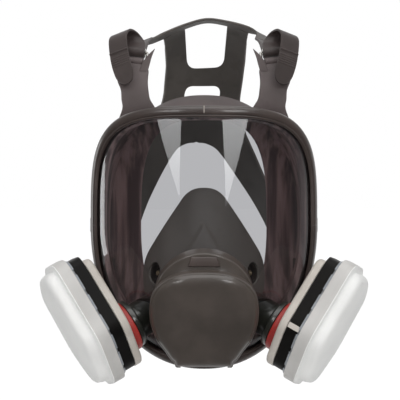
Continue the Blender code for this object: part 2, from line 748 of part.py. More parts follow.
def adapter():
    bore = ADAPTER_TUBE - ADAPTER_WALL
    web = VALVE_RADIUS - ADAPTER_WALL
    low = ADAPTER_SEAT - HUB_THICK
    tube = [
        (bore, -ADAPTER_DEPTH),
        (ADAPTER_TUBE, -ADAPTER_DEPTH),
        (ADAPTER_TUBE, ADAPTER_FRONT),
        (bore, ADAPTER_FRONT),
        (bore, ADAPTER_SEAT),
        (web, ADAPTER_SEAT),
        (web, low),
        (bore, low),
    ]
    body = turned("center_adapter", ADAPTER_PLACE, tube, FRAME_PLASTIC, hollow=True, count=24)
    core = ADAPTER_TUBE - ADAPTER_WALL * 0.4
    rim = ADAPTER_FRONT * 0.6
    slope = ADAPTER_FRONT - rim
    flange = [
        (ADAPTER_FLANGE, -ADAPTER_DEPTH),
        (ADAPTER_FLANGE, rim),
        (ADAPTER_FLANGE - slope, ADAPTER_FRONT),
    ]
    rings = [circle(ADAPTER_PLACE, core, -ADAPTER_DEPTH, 24)]
    rings += [circle(FLANGE_PLACE, radius, height, 24) for radius, height in flange]
    rings.append(circle(ADAPTER_PLACE, core, ADAPTER_FRONT - GAP, 24))
    ring = solid("adapter_flange", rings, None, joined=True)
    combine(ring, BEHIND_LENS, "DIFFERENCE", "MANIFOLD")
    clear = PORT_GASKET_RADIUS + ADAPTER_WALL
    for name, side in SIDES:
        room = [(clear, -CUTTER_DEPTH), (clear, CUTTER_DEPTH)]
        cutter = turned(f"port_room_{name}", PORT_PLACE, room, None, side)
        combine(ring, cutter, "DIFFERENCE", "MANIFOLD")
    combine(body, ring, "UNION")
    spider(body, ADAPTER_PLACE, ADAPTER_SEAT, web + ADAPTER_WALL * 0.5)
    hole = [(ADAPTER_HOLE, -CUTTER_DEPTH), (ADAPTER_HOLE, CUTTER_DEPTH)]
    combine(LENS, turned("adapter_hole", ADAPTER_PLACE, hole, None, count=24), "DIFFERENCE")


adapter()
ADAPTER_BORE = ADAPTER_TUBE + GAP
turned(
    "adapter_gasket",
    ADAPTER_PLACE,
    [
        (ADAPTER_BORE, ADAPTER_NUT_FRONT + GAP),
        (ADAPTER_BORE + GASKET_WALL, ADAPTER_NUT_FRONT + GAP),
        (ADAPTER_BORE + GASKET_WALL, GASKET_FRONT),
        (ADAPTER_BORE, GASKET_FRONT),
    ],
    DARK_RUBBER,
    hollow=True,
    count=24,
)
turned(
    "adapter_nut",
    ADAPTER_PLACE,
    [
        (ADAPTER_BORE, ADAPTER_NUT_BACK),
        (ADAPTER_NUT_RADIUS, ADAPTER_NUT_BACK),
        (ADAPTER_NUT_RADIUS, ADAPTER_NUT_FRONT),
        (ADAPTER_BORE, ADAPTER_NUT_FRONT),
    ],
    FRAME_PLASTIC,
    hollow=True,
    count=24,
)
mushroom("exhalation_valve", ADAPTER_PLACE, ADAPTER_SEAT, VALVE_RADIUS, origin=ADAPTER_CENTRE)


def cover_outline():
    """The cover seen along its axis: round above, drawn in below to a flat outlet."""
    shoulder = math.radians(20.0)
    points = []
    for i in range(41):
        turn = -shoulder + (math.pi + 2.0 * shoulder) * i / 40
        reach = oval_reach(turn, COVER_HALF_WIDTH, COVER_RISE, COVER_DROP, COVER_POWER, 2.0)
        points.append(Vector((reach * math.cos(turn), reach * math.sin(turn))))
    step = COVER_OUTLET_HALF_WIDTH * 0.11
    side = [
        Vector((COVER_OUTLET_HALF_WIDTH + 6.0 * step, -COVER_DROP * 0.50)),
        Vector((COVER_OUTLET_HALF_WIDTH + 3.4 * step, -COVER_DROP * 0.70)),
        Vector((COVER_OUTLET_HALF_WIDTH + step, -COVER_DROP * 0.92)),
        Vector((COVER_OUTLET_HALF_WIDTH, -COVER_DROP)),
    ]
    left = [Vector((-point.x, point.y)) for point in side]
    return resampled(points + left + side[::-1], 36, closed=True)


def exhalation_cover():
    outline = cover_outline()
    base = ADAPTER_FRONT + GAP
    shape = ((1.0, 0.0), (1.0, 0.42), (0.955, 0.78), (0.78, 0.95), (0.25, 1.0))
    inset = COVER_WALL / COVER_HALF_WIDTH

    def ring(scale, height):
        return [ADAPTER_PLACE(point.x * scale, point.y * scale, height) for point in outline]

    outer = [ring(scale, base + COVER_DEPTH * share) for scale, share in shape]
    inner_depth = COVER_DEPTH - COVER_WALL
    inner = [ring(scale - inset, base + inner_depth * share) for scale, share in shape[1:]]
    foot = base + COVER_WALL
    inner = [ring(COVER_SEAT_SCALE, base), ring(COVER_SEAT_SCALE, foot), ring(1.0 - inset, foot)] + inner
    body = solid("exhalation_cover", inner[::-1] + outer, COVER_PLASTIC)
    half = COVER_OUTLET_HALF_WIDTH - 2.0 * COVER_WALL
    low = (-half, -COVER_DROP - COVER_WALL, base + COVER_WALL)
    high = (half, -COVER_DROP + 2.5 * COVER_WALL, base + COVER_DEPTH * 0.5)
    combine(body, block("outlet", ADAPTER_PLACE, low, high), "DIFFERENCE")


exhalation_cover()


# Bayonet ports with their gaskets, nuts and inhalation valves

CARTRIDGE_BASE = PORT_HEIGHT + GAP + PORT_GASKET + GAP
LUG_BASE = CARTRIDGE_BASE + CARTRIDGE_FLOOR + GAP
LUG_TOP = LUG_BASE + PORT_LUG_THICK
INHALATION_RADIUS = PORT_TUBE - PORT_WALL - VALVE_ROOM


def lug(name, side, first, width, inner, outer, low, high):
    """A sector of a ring about the port axis."""
    rings = []
    for i in range(4):
        turn = first + width * i / 3
        corners = ((inner, low), (outer, low), (outer, high), (inner, high))
        points = [PORT_PLACE(r * math.cos(turn), r * math.sin(turn), height) for r, height in corners]
        rings.append(mirrored(points, side))
    return solid(name, rings, None)


def port(name, side):
    bore = PORT_TUBE - PORT_WALL
    web = bore - PORT_WALL * 1.5
    floor = -PORT_INSIDE + HUB_THICK
    tube = [
        (web, -PORT_INSIDE),
        (PORT_TUBE, -PORT_INSIDE),
        (PORT_TUBE, LUG_TOP),
        (bore, LUG_TOP),
        (bore, floor),
        (web, floor),
    ]
    body = turned(f"port_{name}", PORT_PLACE, tube, FRAME_PLASTIC, side, hollow=True)
    core = PORT_TUBE - PORT_WALL * 0.5
    rim = PORT_HEIGHT * 0.55
    boss = [
        (core, -PORT_INSIDE),
        (PORT_NECK, -PORT_INSIDE),
        (PORT_NECK, rim),
        (PORT_BOSS, rim + PORT_BOSS - PORT_NECK),
        (PORT_BOSS, PORT_HEIGHT),
        (core, PORT_HEIGHT),
    ]
    collar = turned(f"port_boss_{name}", PORT_PLACE, boss, None, side, hollow=True)
    combine(collar, BEHIND_LENS, "DIFFERENCE")
    combine(body, collar, "UNION")
    for i in range(PORT_LUG_COUNT):
        first = PORT_LUG_TURN + 2.0 * math.pi * i / PORT_LUG_COUNT
        outer = PORT_TUBE + PORT_LUG
        key = lug(f"lug_{name}_{i}", side, first, PORT_LUG_ANGLE, core, outer, LUG_BASE, LUG_TOP - GAP)
        combine(body, key, "UNION", "MANIFOLD")
    spider(body, PORT_INWARD, PORT_INSIDE, web + PORT_WALL * 0.5, side)
    hole = [(PORT_TUBE + GAP, -CUTTER_DEPTH), (PORT_TUBE + GAP, CUTTER_DEPTH)]
    combine(LENS, turned(f"port_hole_{name}", PORT_PLACE, hole, None, side), "DIFFERENCE")
    ring = PORT_TUBE + GAP
    seat = PORT_HEIGHT + GAP
    top = seat + PORT_GASKET
    gasket = [(ring, seat), (PORT_GASKET_RADIUS, seat), (PORT_GASKET_RADIUS, top), (ring, top)]
    turned(f"port_gasket_{name}", PORT_PLACE, gasket, RED_RUBBER, side, hollow=True)
    back = GAP - PORT_INSIDE
    front = PORT_HEIGHT * 0.4
    nut = [(ring, back), (PORT_NUT, back), (PORT_NUT, front), (ring, front)]
    nut_body = turned(f"port_nut_{name}", PORT_PLACE, nut, FRAME_PLASTIC, side, hollow=True)
    combine(nut_body, BEFORE_LENS, "DIFFERENCE")
    origin = mirrored([PORT_CENTRE], side)[0]
    mushroom(f"inhalation_valve_{name}", PORT_INWARD, PORT_INSIDE, INHALATION_RADIUS, side, origin)


for port_name, port_side in SIDES:
    port(port_name, port_side)


# Cartridges: back shell, can with its bed and grille, and the pre-filter under its retainer

def rounded(corners, steps=6):
    """A closed outline through corners of (x, y, radius), each rounded over its radius."""
    points = []
    for i, (x, y, radius) in enumerate(corners):
        corner = Vector((x, y))
        before = Vector(corners[i - 1][:2])
        after = Vector(corners[(i + 1) % len(corners)][:2])
        start = corner + (before - corner).normalized() * radius
        end = corner + (after - corner).normalized() * radius
        for j in range(steps + 1):
            share = j / steps
            points.append(start.lerp(corner, share).lerp(corner.lerp(end, share), share))
    return points


CARTRIDGE_CORNERS = [
    (along * CARTRIDGE_HALF_LENGTH, across * CARTRIDGE_HALF_WIDTH, CARTRIDGE_CORNER)
    for along, across in CARTRIDGE_SHAPE
]
CARTRIDGE_OUTLINE = resampled(rounded(CARTRIDGE_CORNERS), CARTRIDGE_POINTS, closed=True)
CARTRIDGE_MIDDLE = Vector((CARTRIDGE_OFFSET, 0.0))
CARTRIDGE_AREA = sum(a.cross(b) for a, b in zip(CARTRIDGE_OUTLINE, CARTRIDGE_OUTLINE[1:]))
CARTRIDGE_SPIN = math.copysign(1.0, CARTRIDGE_AREA)
CAN_BASE = CARTRIDGE_BASE + BACK_HEIGHT + GAP
CAN_TOP = CAN_BASE + CAN_HEIGHT
RETAINER_REACH = CARTRIDGE_HALF_WIDTH * CARTRIDGE_SHAPE[0][1]


def cartridge_ring(side, height, grow=0.0, scale=1.0, hole=None):
    """The cartridge outline at a height, grown or scaled, or the matching ring of a hole at its axis."""
    points = []
    for i, point in enumerate(CARTRIDGE_OUTLINE):
        after = CARTRIDGE_OUTLINE[(i + 1) % CARTRIDGE_POINTS]
        along = (after - CARTRIDGE_OUTLINE[i - 1]).normalized()
        outward = Vector((along.y, -along.x)) * CARTRIDGE_SPIN
        spot = CARTRIDGE_MIDDLE + point * scale + outward * grow
        if hole:
            spot = spot.normalized() * hole
        points.append(PORT_PLACE(spot.x, spot.y, height))
    return mirrored(points, side)


def cartridge_back(name, side, origin):
    floor = CARTRIDGE_BASE + CARTRIDGE_FLOOR
    top = CARTRIDGE_BASE + BACK_HEIGHT
    hole = PORT_TUBE + LOOSE_GAP
    shoulder = CARTRIDGE_BASE + BACK_HEIGHT * 0.45
    rings = [
        cartridge_ring(side, CARTRIDGE_BASE, hole=hole),
        cartridge_ring(side, CARTRIDGE_BASE, -BACK_FOOT),
        cartridge_ring(side, CARTRIDGE_BASE + BACK_HEIGHT * 0.25, -CARTRIDGE_WALL),
        cartridge_ring(side, shoulder),
        cartridge_ring(side, top),
        cartridge_ring(side, top, -CARTRIDGE_WALL),
        cartridge_ring(side, shoulder, -CARTRIDGE_WALL),
        cartridge_ring(side, floor, -BACK_FOOT - CARTRIDGE_WALL),
        cartridge_ring(side, floor, hole=hole),
    ]
    body = solid(f"cartridge_back_{name}", rings, CREAM, joined=True, origin=origin)
    for i in range(PORT_LUG_COUNT):
        spread = PORT_LUG_ANGLE * 0.15
        first = PORT_LUG_TURN + 2.0 * math.pi * (i + 0.5) / PORT_LUG_COUNT - spread
        outer = PORT_TUBE + PORT_LUG + LOOSE_GAP
        low = CARTRIDGE_BASE - CARTRIDGE_FLOOR
        width = PORT_LUG_ANGLE + 2.0 * spread
        notch = lug(f"notch_{name}_{i}", side, first, width, PORT_TUBE - PORT_WALL, outer, low, LUG_BASE)
        combine(body, notch, "DIFFERENCE")


def cartridge_can(name, side, origin):
    floor = CAN_BASE + CARTRIDGE_FLOOR
    inner = -CAN_STEP - CARTRIDGE_WALL
    rings = [
        cartridge_ring(side, CAN_BASE, hole=CAN_HOLE),
        cartridge_ring(side, CAN_BASE, -CAN_STEP),
        cartridge_ring(side, CAN_TOP, -CAN_STEP),
        cartridge_ring(side, CAN_TOP, inner),
        cartridge_ring(side, floor, inner),
        cartridge_ring(side, floor, hole=CAN_HOLE),
    ]
    solid(f"cartridge_can_{name}", rings, BAND, joined=True, origin=origin)
    fit = inner - LOOSE_GAP
    grille_top = CAN_TOP - LOOSE_GAP
    grille_base = grille_top - GRILLE_THICK
    bed = [cartridge_ring(side, floor + GAP, fit), cartridge_ring(side, grille_base - GAP, fit)]
    solid(f"sorbent_bed_{name}", bed, CARBON, origin=origin)
    grille = [cartridge_ring(side, grille_base, fit), cartridge_ring(side, grille_top, fit)]
    solid(f"cartridge_grille_{name}", grille, CREAM, origin=origin)


def retainer(name, side, origin):
    felt_base = CAN_TOP + GAP
    felt_top = felt_base + PREFILTER_THICK
    felt = [cartridge_ring(side, height, -CARTRIDGE_WALL) for height in (felt_base, felt_top)]
    solid(f"prefilter_{name}", felt, FELT, origin=origin)
    inner = GAP - CAN_STEP
    skirt = CAN_TOP - RETAINER_SKIRT
    flange = felt_top + GAP
    dome = ((1.0, 0.42), (0.92, 0.77), (0.70, 0.94), (0.25, 1.0))
    wall = CARTRIDGE_WALL
    outer_rings = [
        cartridge_ring(side, skirt, RETAINER_LIP),
        cartridge_ring(side, flange, RETAINER_LIP),
        cartridge_ring(side, flange + wall * 0.6, CAN_STEP),
    ]
    inner_rings = [
        cartridge_ring(side, skirt, inner),
        cartridge_ring(side, flange, inner),
    ]
    for scale, rise in dome:
        height = CAN_TOP + RETAINER_DOME * rise
        outer_rings.append(cartridge_ring(side, height, scale=scale))
        inner_rings.append(cartridge_ring(side, height - wall, scale=scale - wall / RETAINER_REACH))
    solid(f"retainer_{name}", inner_rings[::-1] + outer_rings, WHITE, origin=origin)


for cartridge_name, cartridge_side in SIDES:
    cartridge_origin = mirrored([PORT_CENTRE], cartridge_side)[0]
    cartridge_back(cartridge_name, cartridge_side, cartridge_origin)
    cartridge_can(cartridge_name, cartridge_side, cartridge_origin)
    retainer(cartridge_name, cartridge_side, cartridge_origin)


# Nose cup with its two inhalation seats and valves

CUP_COLLAR_FRONT = ADAPTER_NUT_BACK - LOOSE_GAP
CUP_CORNERS = (
    (0.0120, CUP_RIM_TOP, 0.0110),
    (0.0340, -0.0020, 0.0180),
    (CUP_RIM_HALF_WIDTH, -0.0340, 0.0160),
    (CUP_RIM_HALF_WIDTH, -0.0640, 0.0180),
    (0.0280, CUP_RIM_CHIN, 0.0170),
)


def cup_outline():
    left = [(-x, z, radius) for x, z, radius in reversed(CUP_CORNERS)]
    return resampled(rounded(CUP_CORNERS + tuple(left)), CUP_POINTS, closed=True)


CUP_OUTLINE = cup_outline()


def cup_ring(share, inset=0.0):
    """One ring of the cup: at 0 it leaves the adapter collar, at 1 it is the rim."""
    points = []
    for spot in CUP_OUTLINE:
        turn = math.atan2(spot.y - CUP_MIDDLE_Z, spot.x)
        wrap = CUP_RIM_WRAP * (spot.x / CUP_RIM_HALF_WIDTH) ** 2
        rim = Vector((spot.x, CUP_RIM_Y + wrap, spot.y))
        reach = ADAPTER_BORE + CUP_THICK
        collar = ADAPTER_PLACE(reach * math.cos(turn), reach * math.sin(turn), -ADAPTER_DEPTH + LOOSE_GAP)
        inward = Vector((-math.cos(turn), 0.75, -math.sin(turn))).normalized()
        points.append(collar.lerp(rim, share) + inward * inset)
    return points


def cup_collar(radius, height):
    turns = [math.atan2(spot.y - CUP_MIDDLE_Z, spot.x) for spot in CUP_OUTLINE]
    return [ADAPTER_PLACE(radius * math.cos(turn), radius * math.sin(turn), height) for turn in turns]


def seat_frame():
    """Where a valve seat sits on the right of the cup: its point, and the directions across and out."""
    turns = [abs(math.atan2(spot.y - CUP_MIDDLE_Z, spot.x) - CUP_SEAT_TURN) for spot in CUP_OUTLINE]
    spot = turns.index(min(turns))
    ring = cup_ring(CUP_SEAT_SHARE)
    deeper = cup_ring(CUP_SEAT_SHARE + 0.1)[spot] - cup_ring(CUP_SEAT_SHARE - 0.1)[spot]
    around = ring[(spot + 1) % CUP_POINTS] - ring[spot - 1]
    axis = deeper.cross(around).normalized()
    return ring[spot], deeper.normalized(), axis if axis.x > 0.0 else -axis


def nose_cup():
    reach = ADAPTER_BORE + CUP_THICK
    shares = (0.0, 0.36, 0.70, 1.0)
    outer = [cup_collar(reach, CUP_COLLAR_FRONT)] + [cup_ring(share) for share in shares]
    inner = [cup_ring(share, CUP_THICK) for share in shares[:0:-1]]
    bottom = LOOSE_GAP - ADAPTER_DEPTH
    collar = [cup_collar(ADAPTER_BORE, bottom), cup_collar(ADAPTER_BORE, CUP_COLLAR_FRONT)]
    body = solid("nose_cup", outer + inner + collar, RUBBER, joined=True)
    point, across, axis = seat_frame()
    outward = placer(point, across, axis.cross(across), axis)
    inward = placer(point, across, axis.cross(across), -axis)
    tube = CUP_SEAT_RADIUS
    wall = PORT_WALL * 0.6
    web = tube - 2.4 * wall
    depth = CUP_THICK + HUB_THICK
    lip = GAP * 2.0
    profile = [
        (web, -depth),
        (tube, -depth),
        (tube, lip),
        (tube + 1.5 * wall, lip),
        (tube + 1.5 * wall, lip + wall),
        (tube - wall, lip + wall),
        (tube - wall, HUB_THICK - depth),
        (web, HUB_THICK - depth),
    ]
    for name, side in SIDES:
        hole = [(tube + GAP, -4.0 * depth), (tube + GAP, 4.0 * depth)]
        combine(body, turned(f"cup_hole_{name}", outward, hole, None, side, count=18), "DIFFERENCE")
        seat = turned(f"nose_cup_seat_{name}", outward, profile, FRAME_PLASTIC, side, hollow=True, count=18)
        spider(seat, inward, depth, web + wall * 0.7, side)
        origin = mirrored([point], side)[0]
        mushroom(f"nose_cup_valve_{name}", inward, depth, tube - wall, side, origin)


nose_cup()


# Head harness: crown band, two legs, crossbar, back plate and two lower legs

def on_head(x, z):
    """A point on the back of the head."""
    share_x = (x / HEAD_HALF_WIDTH) ** 2
    share_z = ((z - HEAD_Z) / HEAD_HALF_HEIGHT) ** 2
    depth = math.sqrt(max(1.0 - share_x - share_z, 0.0))
    return Vector((x, HEAD_Y + HEAD_HALF_DEPTH * depth, z))


def strip_cells(inner, outer):
    """The four-cornered cells between two edges of equal length."""
    edges = list(zip(inner, outer))
    return [(a, b, d, c) for (a, b), (c, d) in zip(edges, edges[1:])]


def harness_half():
    """Corner points of the cells of the right half; the left half mirrors them."""
    levels = (LEG_TOP, CROSSBAR_TOP, CROSSBAR_BASE, PLATE_TOP)
    inner = [CROWN_BACK[1]] + [on_head(LEG_IN, z) for z in levels]
    outer = [CROWN_BACK[2]] + [on_head(LEG_OUT, z) for z in levels]
    middle = [on_head(0.0, z) for z in levels[1:] + (ARCH_MIDDLE,)]
    arch_side = on_head(LEG_IN, ARCH_SIDE)
    lower_in = [inner[-1], arch_side] + [on_head(x, z) for x, z in LOWER_LEG_IN] + [NAPE_IN]
    lower_out = [outer[-1]] + [on_head(x, z) for x, z in LOWER_LEG_OUT] + [NAPE_OUT]
    cells = strip_cells(CROWN_FRONT, CROWN_BACK)
    cells += strip_cells(inner, outer)
    cells += strip_cells(middle[:2], inner[2:4])
    cells += strip_cells(middle[2:], [inner[-1], arch_side])
    cells += strip_cells(lower_in, lower_out)
    return cells


def head_harness():
    work = bmesh.new()
    known = {}

    def corner(point, side):
        key = (round(point.x * side, 6), round(point.y, 6), round(point.z, 6))
        if key not in known:
            known[key] = work.verts.new((point.x * side, point.y, point.z))
        return known[key]

    for cell in harness_half():
        work.faces.new([corner(point, 1.0) for point in cell])
        work.faces.new([corner(point, -1.0) for point in reversed(cell)])
    bmesh.ops.recalc_face_normals(work, faces=work.faces)
    mesh = bpy.data.meshes.new("head_harness")
    work.to_mesh(mesh)
    work.free()
    mesh.materials.append(DARK_RUBBER)
    body = bpy.data.objects.new("head_harness", mesh)
    bpy.context.scene.collection.objects.link(body)
    smooth = body.modifiers.new("smooth", "SUBSURF")
    smooth.levels = 1
    smooth.render_levels = 1
    smooth.boundary_smooth = "PRESERVE_CORNERS"
    thick = body.modifiers.new("thick", "SOLIDIFY")
    thick.thickness = HARNESS_THICK
    thick.offset = 0.0


head_harness()
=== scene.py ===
"""The looks of a full-face respirator mask: clear visor, twin cartridges, rubber seal and head harness.

Metres. X points to the viewer's right, the front faces -Y and Z is up.
"""

import math

import bmesh
import bpy
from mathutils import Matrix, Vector

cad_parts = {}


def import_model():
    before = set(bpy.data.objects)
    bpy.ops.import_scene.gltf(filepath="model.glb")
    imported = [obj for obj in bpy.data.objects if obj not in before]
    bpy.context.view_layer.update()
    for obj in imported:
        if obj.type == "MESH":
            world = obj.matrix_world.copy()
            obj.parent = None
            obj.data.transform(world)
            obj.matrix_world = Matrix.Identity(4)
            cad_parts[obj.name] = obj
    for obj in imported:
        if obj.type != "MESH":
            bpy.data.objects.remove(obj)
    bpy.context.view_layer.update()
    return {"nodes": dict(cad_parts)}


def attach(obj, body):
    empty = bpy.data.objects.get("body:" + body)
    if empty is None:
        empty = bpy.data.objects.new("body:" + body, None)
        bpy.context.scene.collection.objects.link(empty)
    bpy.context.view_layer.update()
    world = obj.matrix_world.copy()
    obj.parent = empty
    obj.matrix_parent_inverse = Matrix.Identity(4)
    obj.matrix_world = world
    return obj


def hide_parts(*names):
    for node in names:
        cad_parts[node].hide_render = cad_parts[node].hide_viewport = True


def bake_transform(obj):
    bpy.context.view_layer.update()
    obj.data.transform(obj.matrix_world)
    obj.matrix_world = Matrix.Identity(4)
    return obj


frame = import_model()
SIDES = (("left", -1.0), ("right", 1.0))

# Visor lens. One sheet of clear polycarbonate, moulded to a bow from side to side and leaning back at
# brow and chin. Its edge sits in the channel of the frame, and it is drilled for the centre fitting and
# the two cartridge ports.

GAP = 0.0003
LENS_HALF_WIDTH, LENS_TOP, LENS_CHIN = 0.0910, 0.0940, 0.1150
LENS_TOP_POWER, LENS_CHIN_POWER = 4.0, 2.2
LENS_THICK = 0.0022
LENS_EDGE_Y, LENS_BOW, LENS_BOW_HALF_WIDTH = -0.0280, 0.0680, 0.0960
LENS_TAPER, LENS_LEAN_TOP, LENS_LEAN_CHIN = 0.45, 0.0140, 0.0340
STATIONS = 176
ADAPTER_Z, ADAPTER_TIP, ADAPTER_HOLE = -0.0650, math.radians(20.0), 0.0243
PORT_X, PORT_Z, PORT_HOLE = 0.0500, -0.0750, 0.0123
PORT_AXIS = Vector((0.833, -0.290, -0.471)).normalized()
RIGHT = Vector((1.0, 0.0, 0.0))
UP = Vector((0.0, 0.0, 1.0))


class Shade:
    """A shader socket that takes part in Python expressions, each of which adds a Math node."""

    def __init__(self, tree, socket):
        self.tree = tree
        self.socket = socket

    def node(self, kind, settings=None, **inputs):
        """Adds any other node: its settings first, then the values or links of its sockets."""
        made = self.tree.nodes.new("ShaderNode" + kind)
        for name, value in (settings or {}).items():
            setattr(made, name, value)
        for name, value in inputs.items():
            key = int(name[1:]) if name[0] == "i" and name[1:].isdigit() else name.replace("_", " ")
            target = made.inputs[key]
            if isinstance(value, Shade):
                self.tree.links.new(value.socket, target)
            else:
                target.default_value = value
        return made

    def out(self, kind, settings=None, output=0, **inputs):
        return Shade(self.tree, self.node(kind, settings, **inputs).outputs[output])

    def maths(self, operation, a, b=0.0):
        return self.out("Math", {"operation": operation}, i0=a, i1=b)

    def __add__(self, other):
        return self.maths("ADD", self, other)

    def __radd__(self, other):
        return self.maths("ADD", other, self)

    def __sub__(self, other):
        return self.maths("SUBTRACT", self, other)

    def __rsub__(self, other):
        return self.maths("SUBTRACT", other, self)

    def __mul__(self, other):
        return self.maths("MULTIPLY", self, other)

    def __rmul__(self, other):
        return self.maths("MULTIPLY", other, self)

    def step(self, low, high):
        """Rises from 0 at low to 1 at high."""
        smooth_rise = {"interpolation_type": "SMOOTHSTEP"}
        return self.out("MapRange", smooth_rise, Value=self, From_Min=low, From_Max=high)

    def blend(self, first, second):
        """A colour between two others, with this value as the share of the second."""
        return self.out("Mix", {"data_type": "RGBA"}, output=2, i0=self, i6=first, i7=second)


def rgb(red, green, blue):
    """A colour as a picture editor gives it, from 0 to 255, in the linear values that shaders take."""
    values = [level / 255.0 for level in (red, green, blue)]
    return tuple(v / 12.92 if v <= 0.04045 else ((v + 0.055) / 1.055) ** 2.4 for v in values) + (1.0,)


def new_material(name):
    """An empty material: its tree's first socket wrapper, its Principled shader and its output."""
    material = bpy.data.materials.new(name)
    material.use_nodes = True
    tree = material.node_tree
    shader = tree.nodes["Principled BSDF"]
    return material, Shade(tree, shader.outputs[0]), shader, tree.nodes["Material Output"]


def link(shade, target):
    shade.tree.links.new(shade.socket, target)


def lens_y(x, z):
    taper = LENS_TAPER * (z / LENS_CHIN) ** 2 if z < 0.0 else 0.0
    half_width = LENS_BOW_HALF_WIDTH * (1.0 - taper)
    bow = LENS_BOW * math.sqrt(max(1.0 - (x / half_width) ** 2, 0.0001))
    lean = LENS_LEAN_TOP * (z / LENS_TOP) ** 2 if z > 0.0 else LENS_LEAN_CHIN * (z / LENS_CHIN) ** 2
    return LENS_EDGE_Y - bow + lean


def lens_point(x, z):
    return Vector((x, lens_y(x, z), z))


def lens_normal(x, z):
    step = 0.0005
    slope_x = (lens_y(x + step, z) - lens_y(x - step, z)) / (2.0 * step)
    slope_z = (lens_y(x, z + step) - lens_y(x, z - step)) / (2.0 * step)
    return Vector((slope_x, -1.0, slope_z)).normalized()


def oval_reach(turn, half_width, above, below, power_above, power_below):
    """Distance from the middle to a superellipse edge in one direction."""
    height = above if math.sin(turn) >= 0.0 else below
    power = power_above if math.sin(turn) >= 0.0 else power_below
    total = abs(math.cos(turn) / half_width) ** power + abs(math.sin(turn) / height) ** power
    return total ** (-1.0 / power)


def resampled(points, count, closed, along=None):
    """Points at equal steps along a polyline, or at the equal steps of another one."""
    path = list(points) + ([points[0]] if closed else [])
    measured = along or path
    lengths = [(b - a).length for a, b in zip(measured, measured[1:])]
    step = sum(lengths) / (count if closed else count - 1)
    result = []
    segment = 0
    passed = 0.0
    for i in range(count):
        wanted = i * step
        while segment < len(lengths) - 1 and passed + lengths[segment] < wanted:
            passed += lengths[segment]
            segment += 1
        share = (wanted - passed) / max(lengths[segment], 1e-9)
        result.append(path[segment].lerp(path[segment + 1], min(share, 1.0)))
    return result


def edge_outline():
    """Stations at equal steps round the lens edge, from the right joint over the top, as (x, z)."""
    halves = []
    for first in (0.0, math.pi):
        points = []
        for i in range(361):
            turn = first + math.pi * i / 360
            reach = oval_reach(turn, LENS_HALF_WIDTH, LENS_TOP, LENS_CHIN, LENS_TOP_POWER, LENS_CHIN_POWER)
            points.append(Vector((reach * math.cos(turn), reach * math.sin(turn))))
        halves.append(resampled(points, STATIONS // 2 + 1, closed=False)[:-1])
    return halves[0] + halves[1]


def piece(name, faces_of, material, smooth=35.0):
    """A mesh object from a function that fills a bmesh, shaded smooth with edges kept past an angle."""
    work = bmesh.new()
    faces_of(work)
    bmesh.ops.recalc_face_normals(work, faces=work.faces)
    if work.calc_volume(signed=True) < 0.0:
        bmesh.ops.reverse_faces(work, faces=work.faces)
    mesh = bpy.data.meshes.new(name)
    work.to_mesh(mesh)
    work.free()
    mesh.shade_smooth()
    mesh.set_sharp_from_angle(angle=math.radians(smooth))
    body = bpy.data.objects.new(name, mesh)
    bpy.context.scene.collection.objects.link(body)
    if material:
        mesh.materials.append(material)
    return body


def loft(name, rings, material, joined=False, smooth=35.0, bands=None):
    """One closed skin through rings of equal length, joined end to end or capped at both ends."""
    def faces_of(work):
        grid = [[work.verts.new(point) for point in ring] for ring in rings]
        count = len(rings[0])
        last = len(rings) if joined else len(rings) - 1
        for i in range(last):
            here = grid[i]
            there = grid[(i + 1) % len(rings)]
            for j in range(count):
                k = (j + 1) % count
                face = work.faces.new((here[j], here[k], there[k], there[j]))
                face.material_index = bands[i] if bands else 0
        if not joined:
            work.faces.new(grid[0])
            work.faces.new(grid[-1])
    return piece(name, faces_of, material, smooth)


def mirrored(points, side):
    return [Vector((point.x * side, point.y, point.z)) for point in points]


def placer(origin, across, along, axis):
    """Maps a point given along three directions from an origin into the world."""
    def place(a, b, c):
        return origin + across * a + along * b + axis * c
    return place


def circle(place, radius, height, count):
    turns = [2.0 * math.pi * i / count for i in range(count)]
    return [place(radius * math.cos(turn), radius * math.sin(turn), height) for turn in turns]


def turned(name, place, profile, material, side=1.0, hollow=True, count=72):
    """A skin of revolution from (radius, height) pairs; a hollow one joins its last pair to its first."""
    rings = [mirrored(circle(place, radius, height, count), side) for radius, height in profile]
    return loft(name, rings, material, joined=hollow)


def carve(body, other, operation="DIFFERENCE", solver="EXACT"):
    """Cuts or joins another shape for good, and removes it."""
    change = body.modifiers.new("carve", "BOOLEAN")
    change.operation = operation
    change.solver = solver
    change.object = other
    bpy.context.view_layer.update()
    done = bpy.data.meshes.new_from_object(body.evaluated_get(bpy.context.evaluated_depsgraph_get()))
    body.modifiers.clear()
    old = body.data
    body.data = done
    bpy.data.meshes.remove(old)
    bpy.data.objects.remove(other, do_unlink=True)


def settle(body, part_body, slot, *nodes):
    """Fixes a piece to its CAD body, in place of the nodes that it stands for; slot is not used."""
    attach(body, part_body)
    if nodes:
        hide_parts(*nodes)
    return body


OUTLINE = edge_outline()
PORT_CENTRE = lens_point(PORT_X, PORT_Z)
PORT_LONG = Vector((-0.494, -0.006, -0.870))
PORT_LONG = (PORT_LONG - PORT_AXIS * PORT_LONG.dot(PORT_AXIS)).normalized()
PORT_FRONT = PORT_LONG.cross(PORT_AXIS).normalized()
PORT_FRONT = PORT_FRONT if PORT_FRONT.y < 0.0 else -PORT_FRONT
PORT_PLACE = placer(PORT_CENTRE, PORT_LONG, PORT_FRONT, PORT_AXIS)
ADAPTER_AXIS = Vector((0.0, -math.cos(ADAPTER_TIP), -math.sin(ADAPTER_TIP)))
ADAPTER_UP = Vector((0.0, -math.sin(ADAPTER_TIP), math.cos(ADAPTER_TIP)))
ADAPTER_CENTRE = lens_point(0.0, ADAPTER_Z)
ADAPTER_PLACE = placer(ADAPTER_CENTRE, RIGHT, ADAPTER_UP, ADAPTER_AXIS)


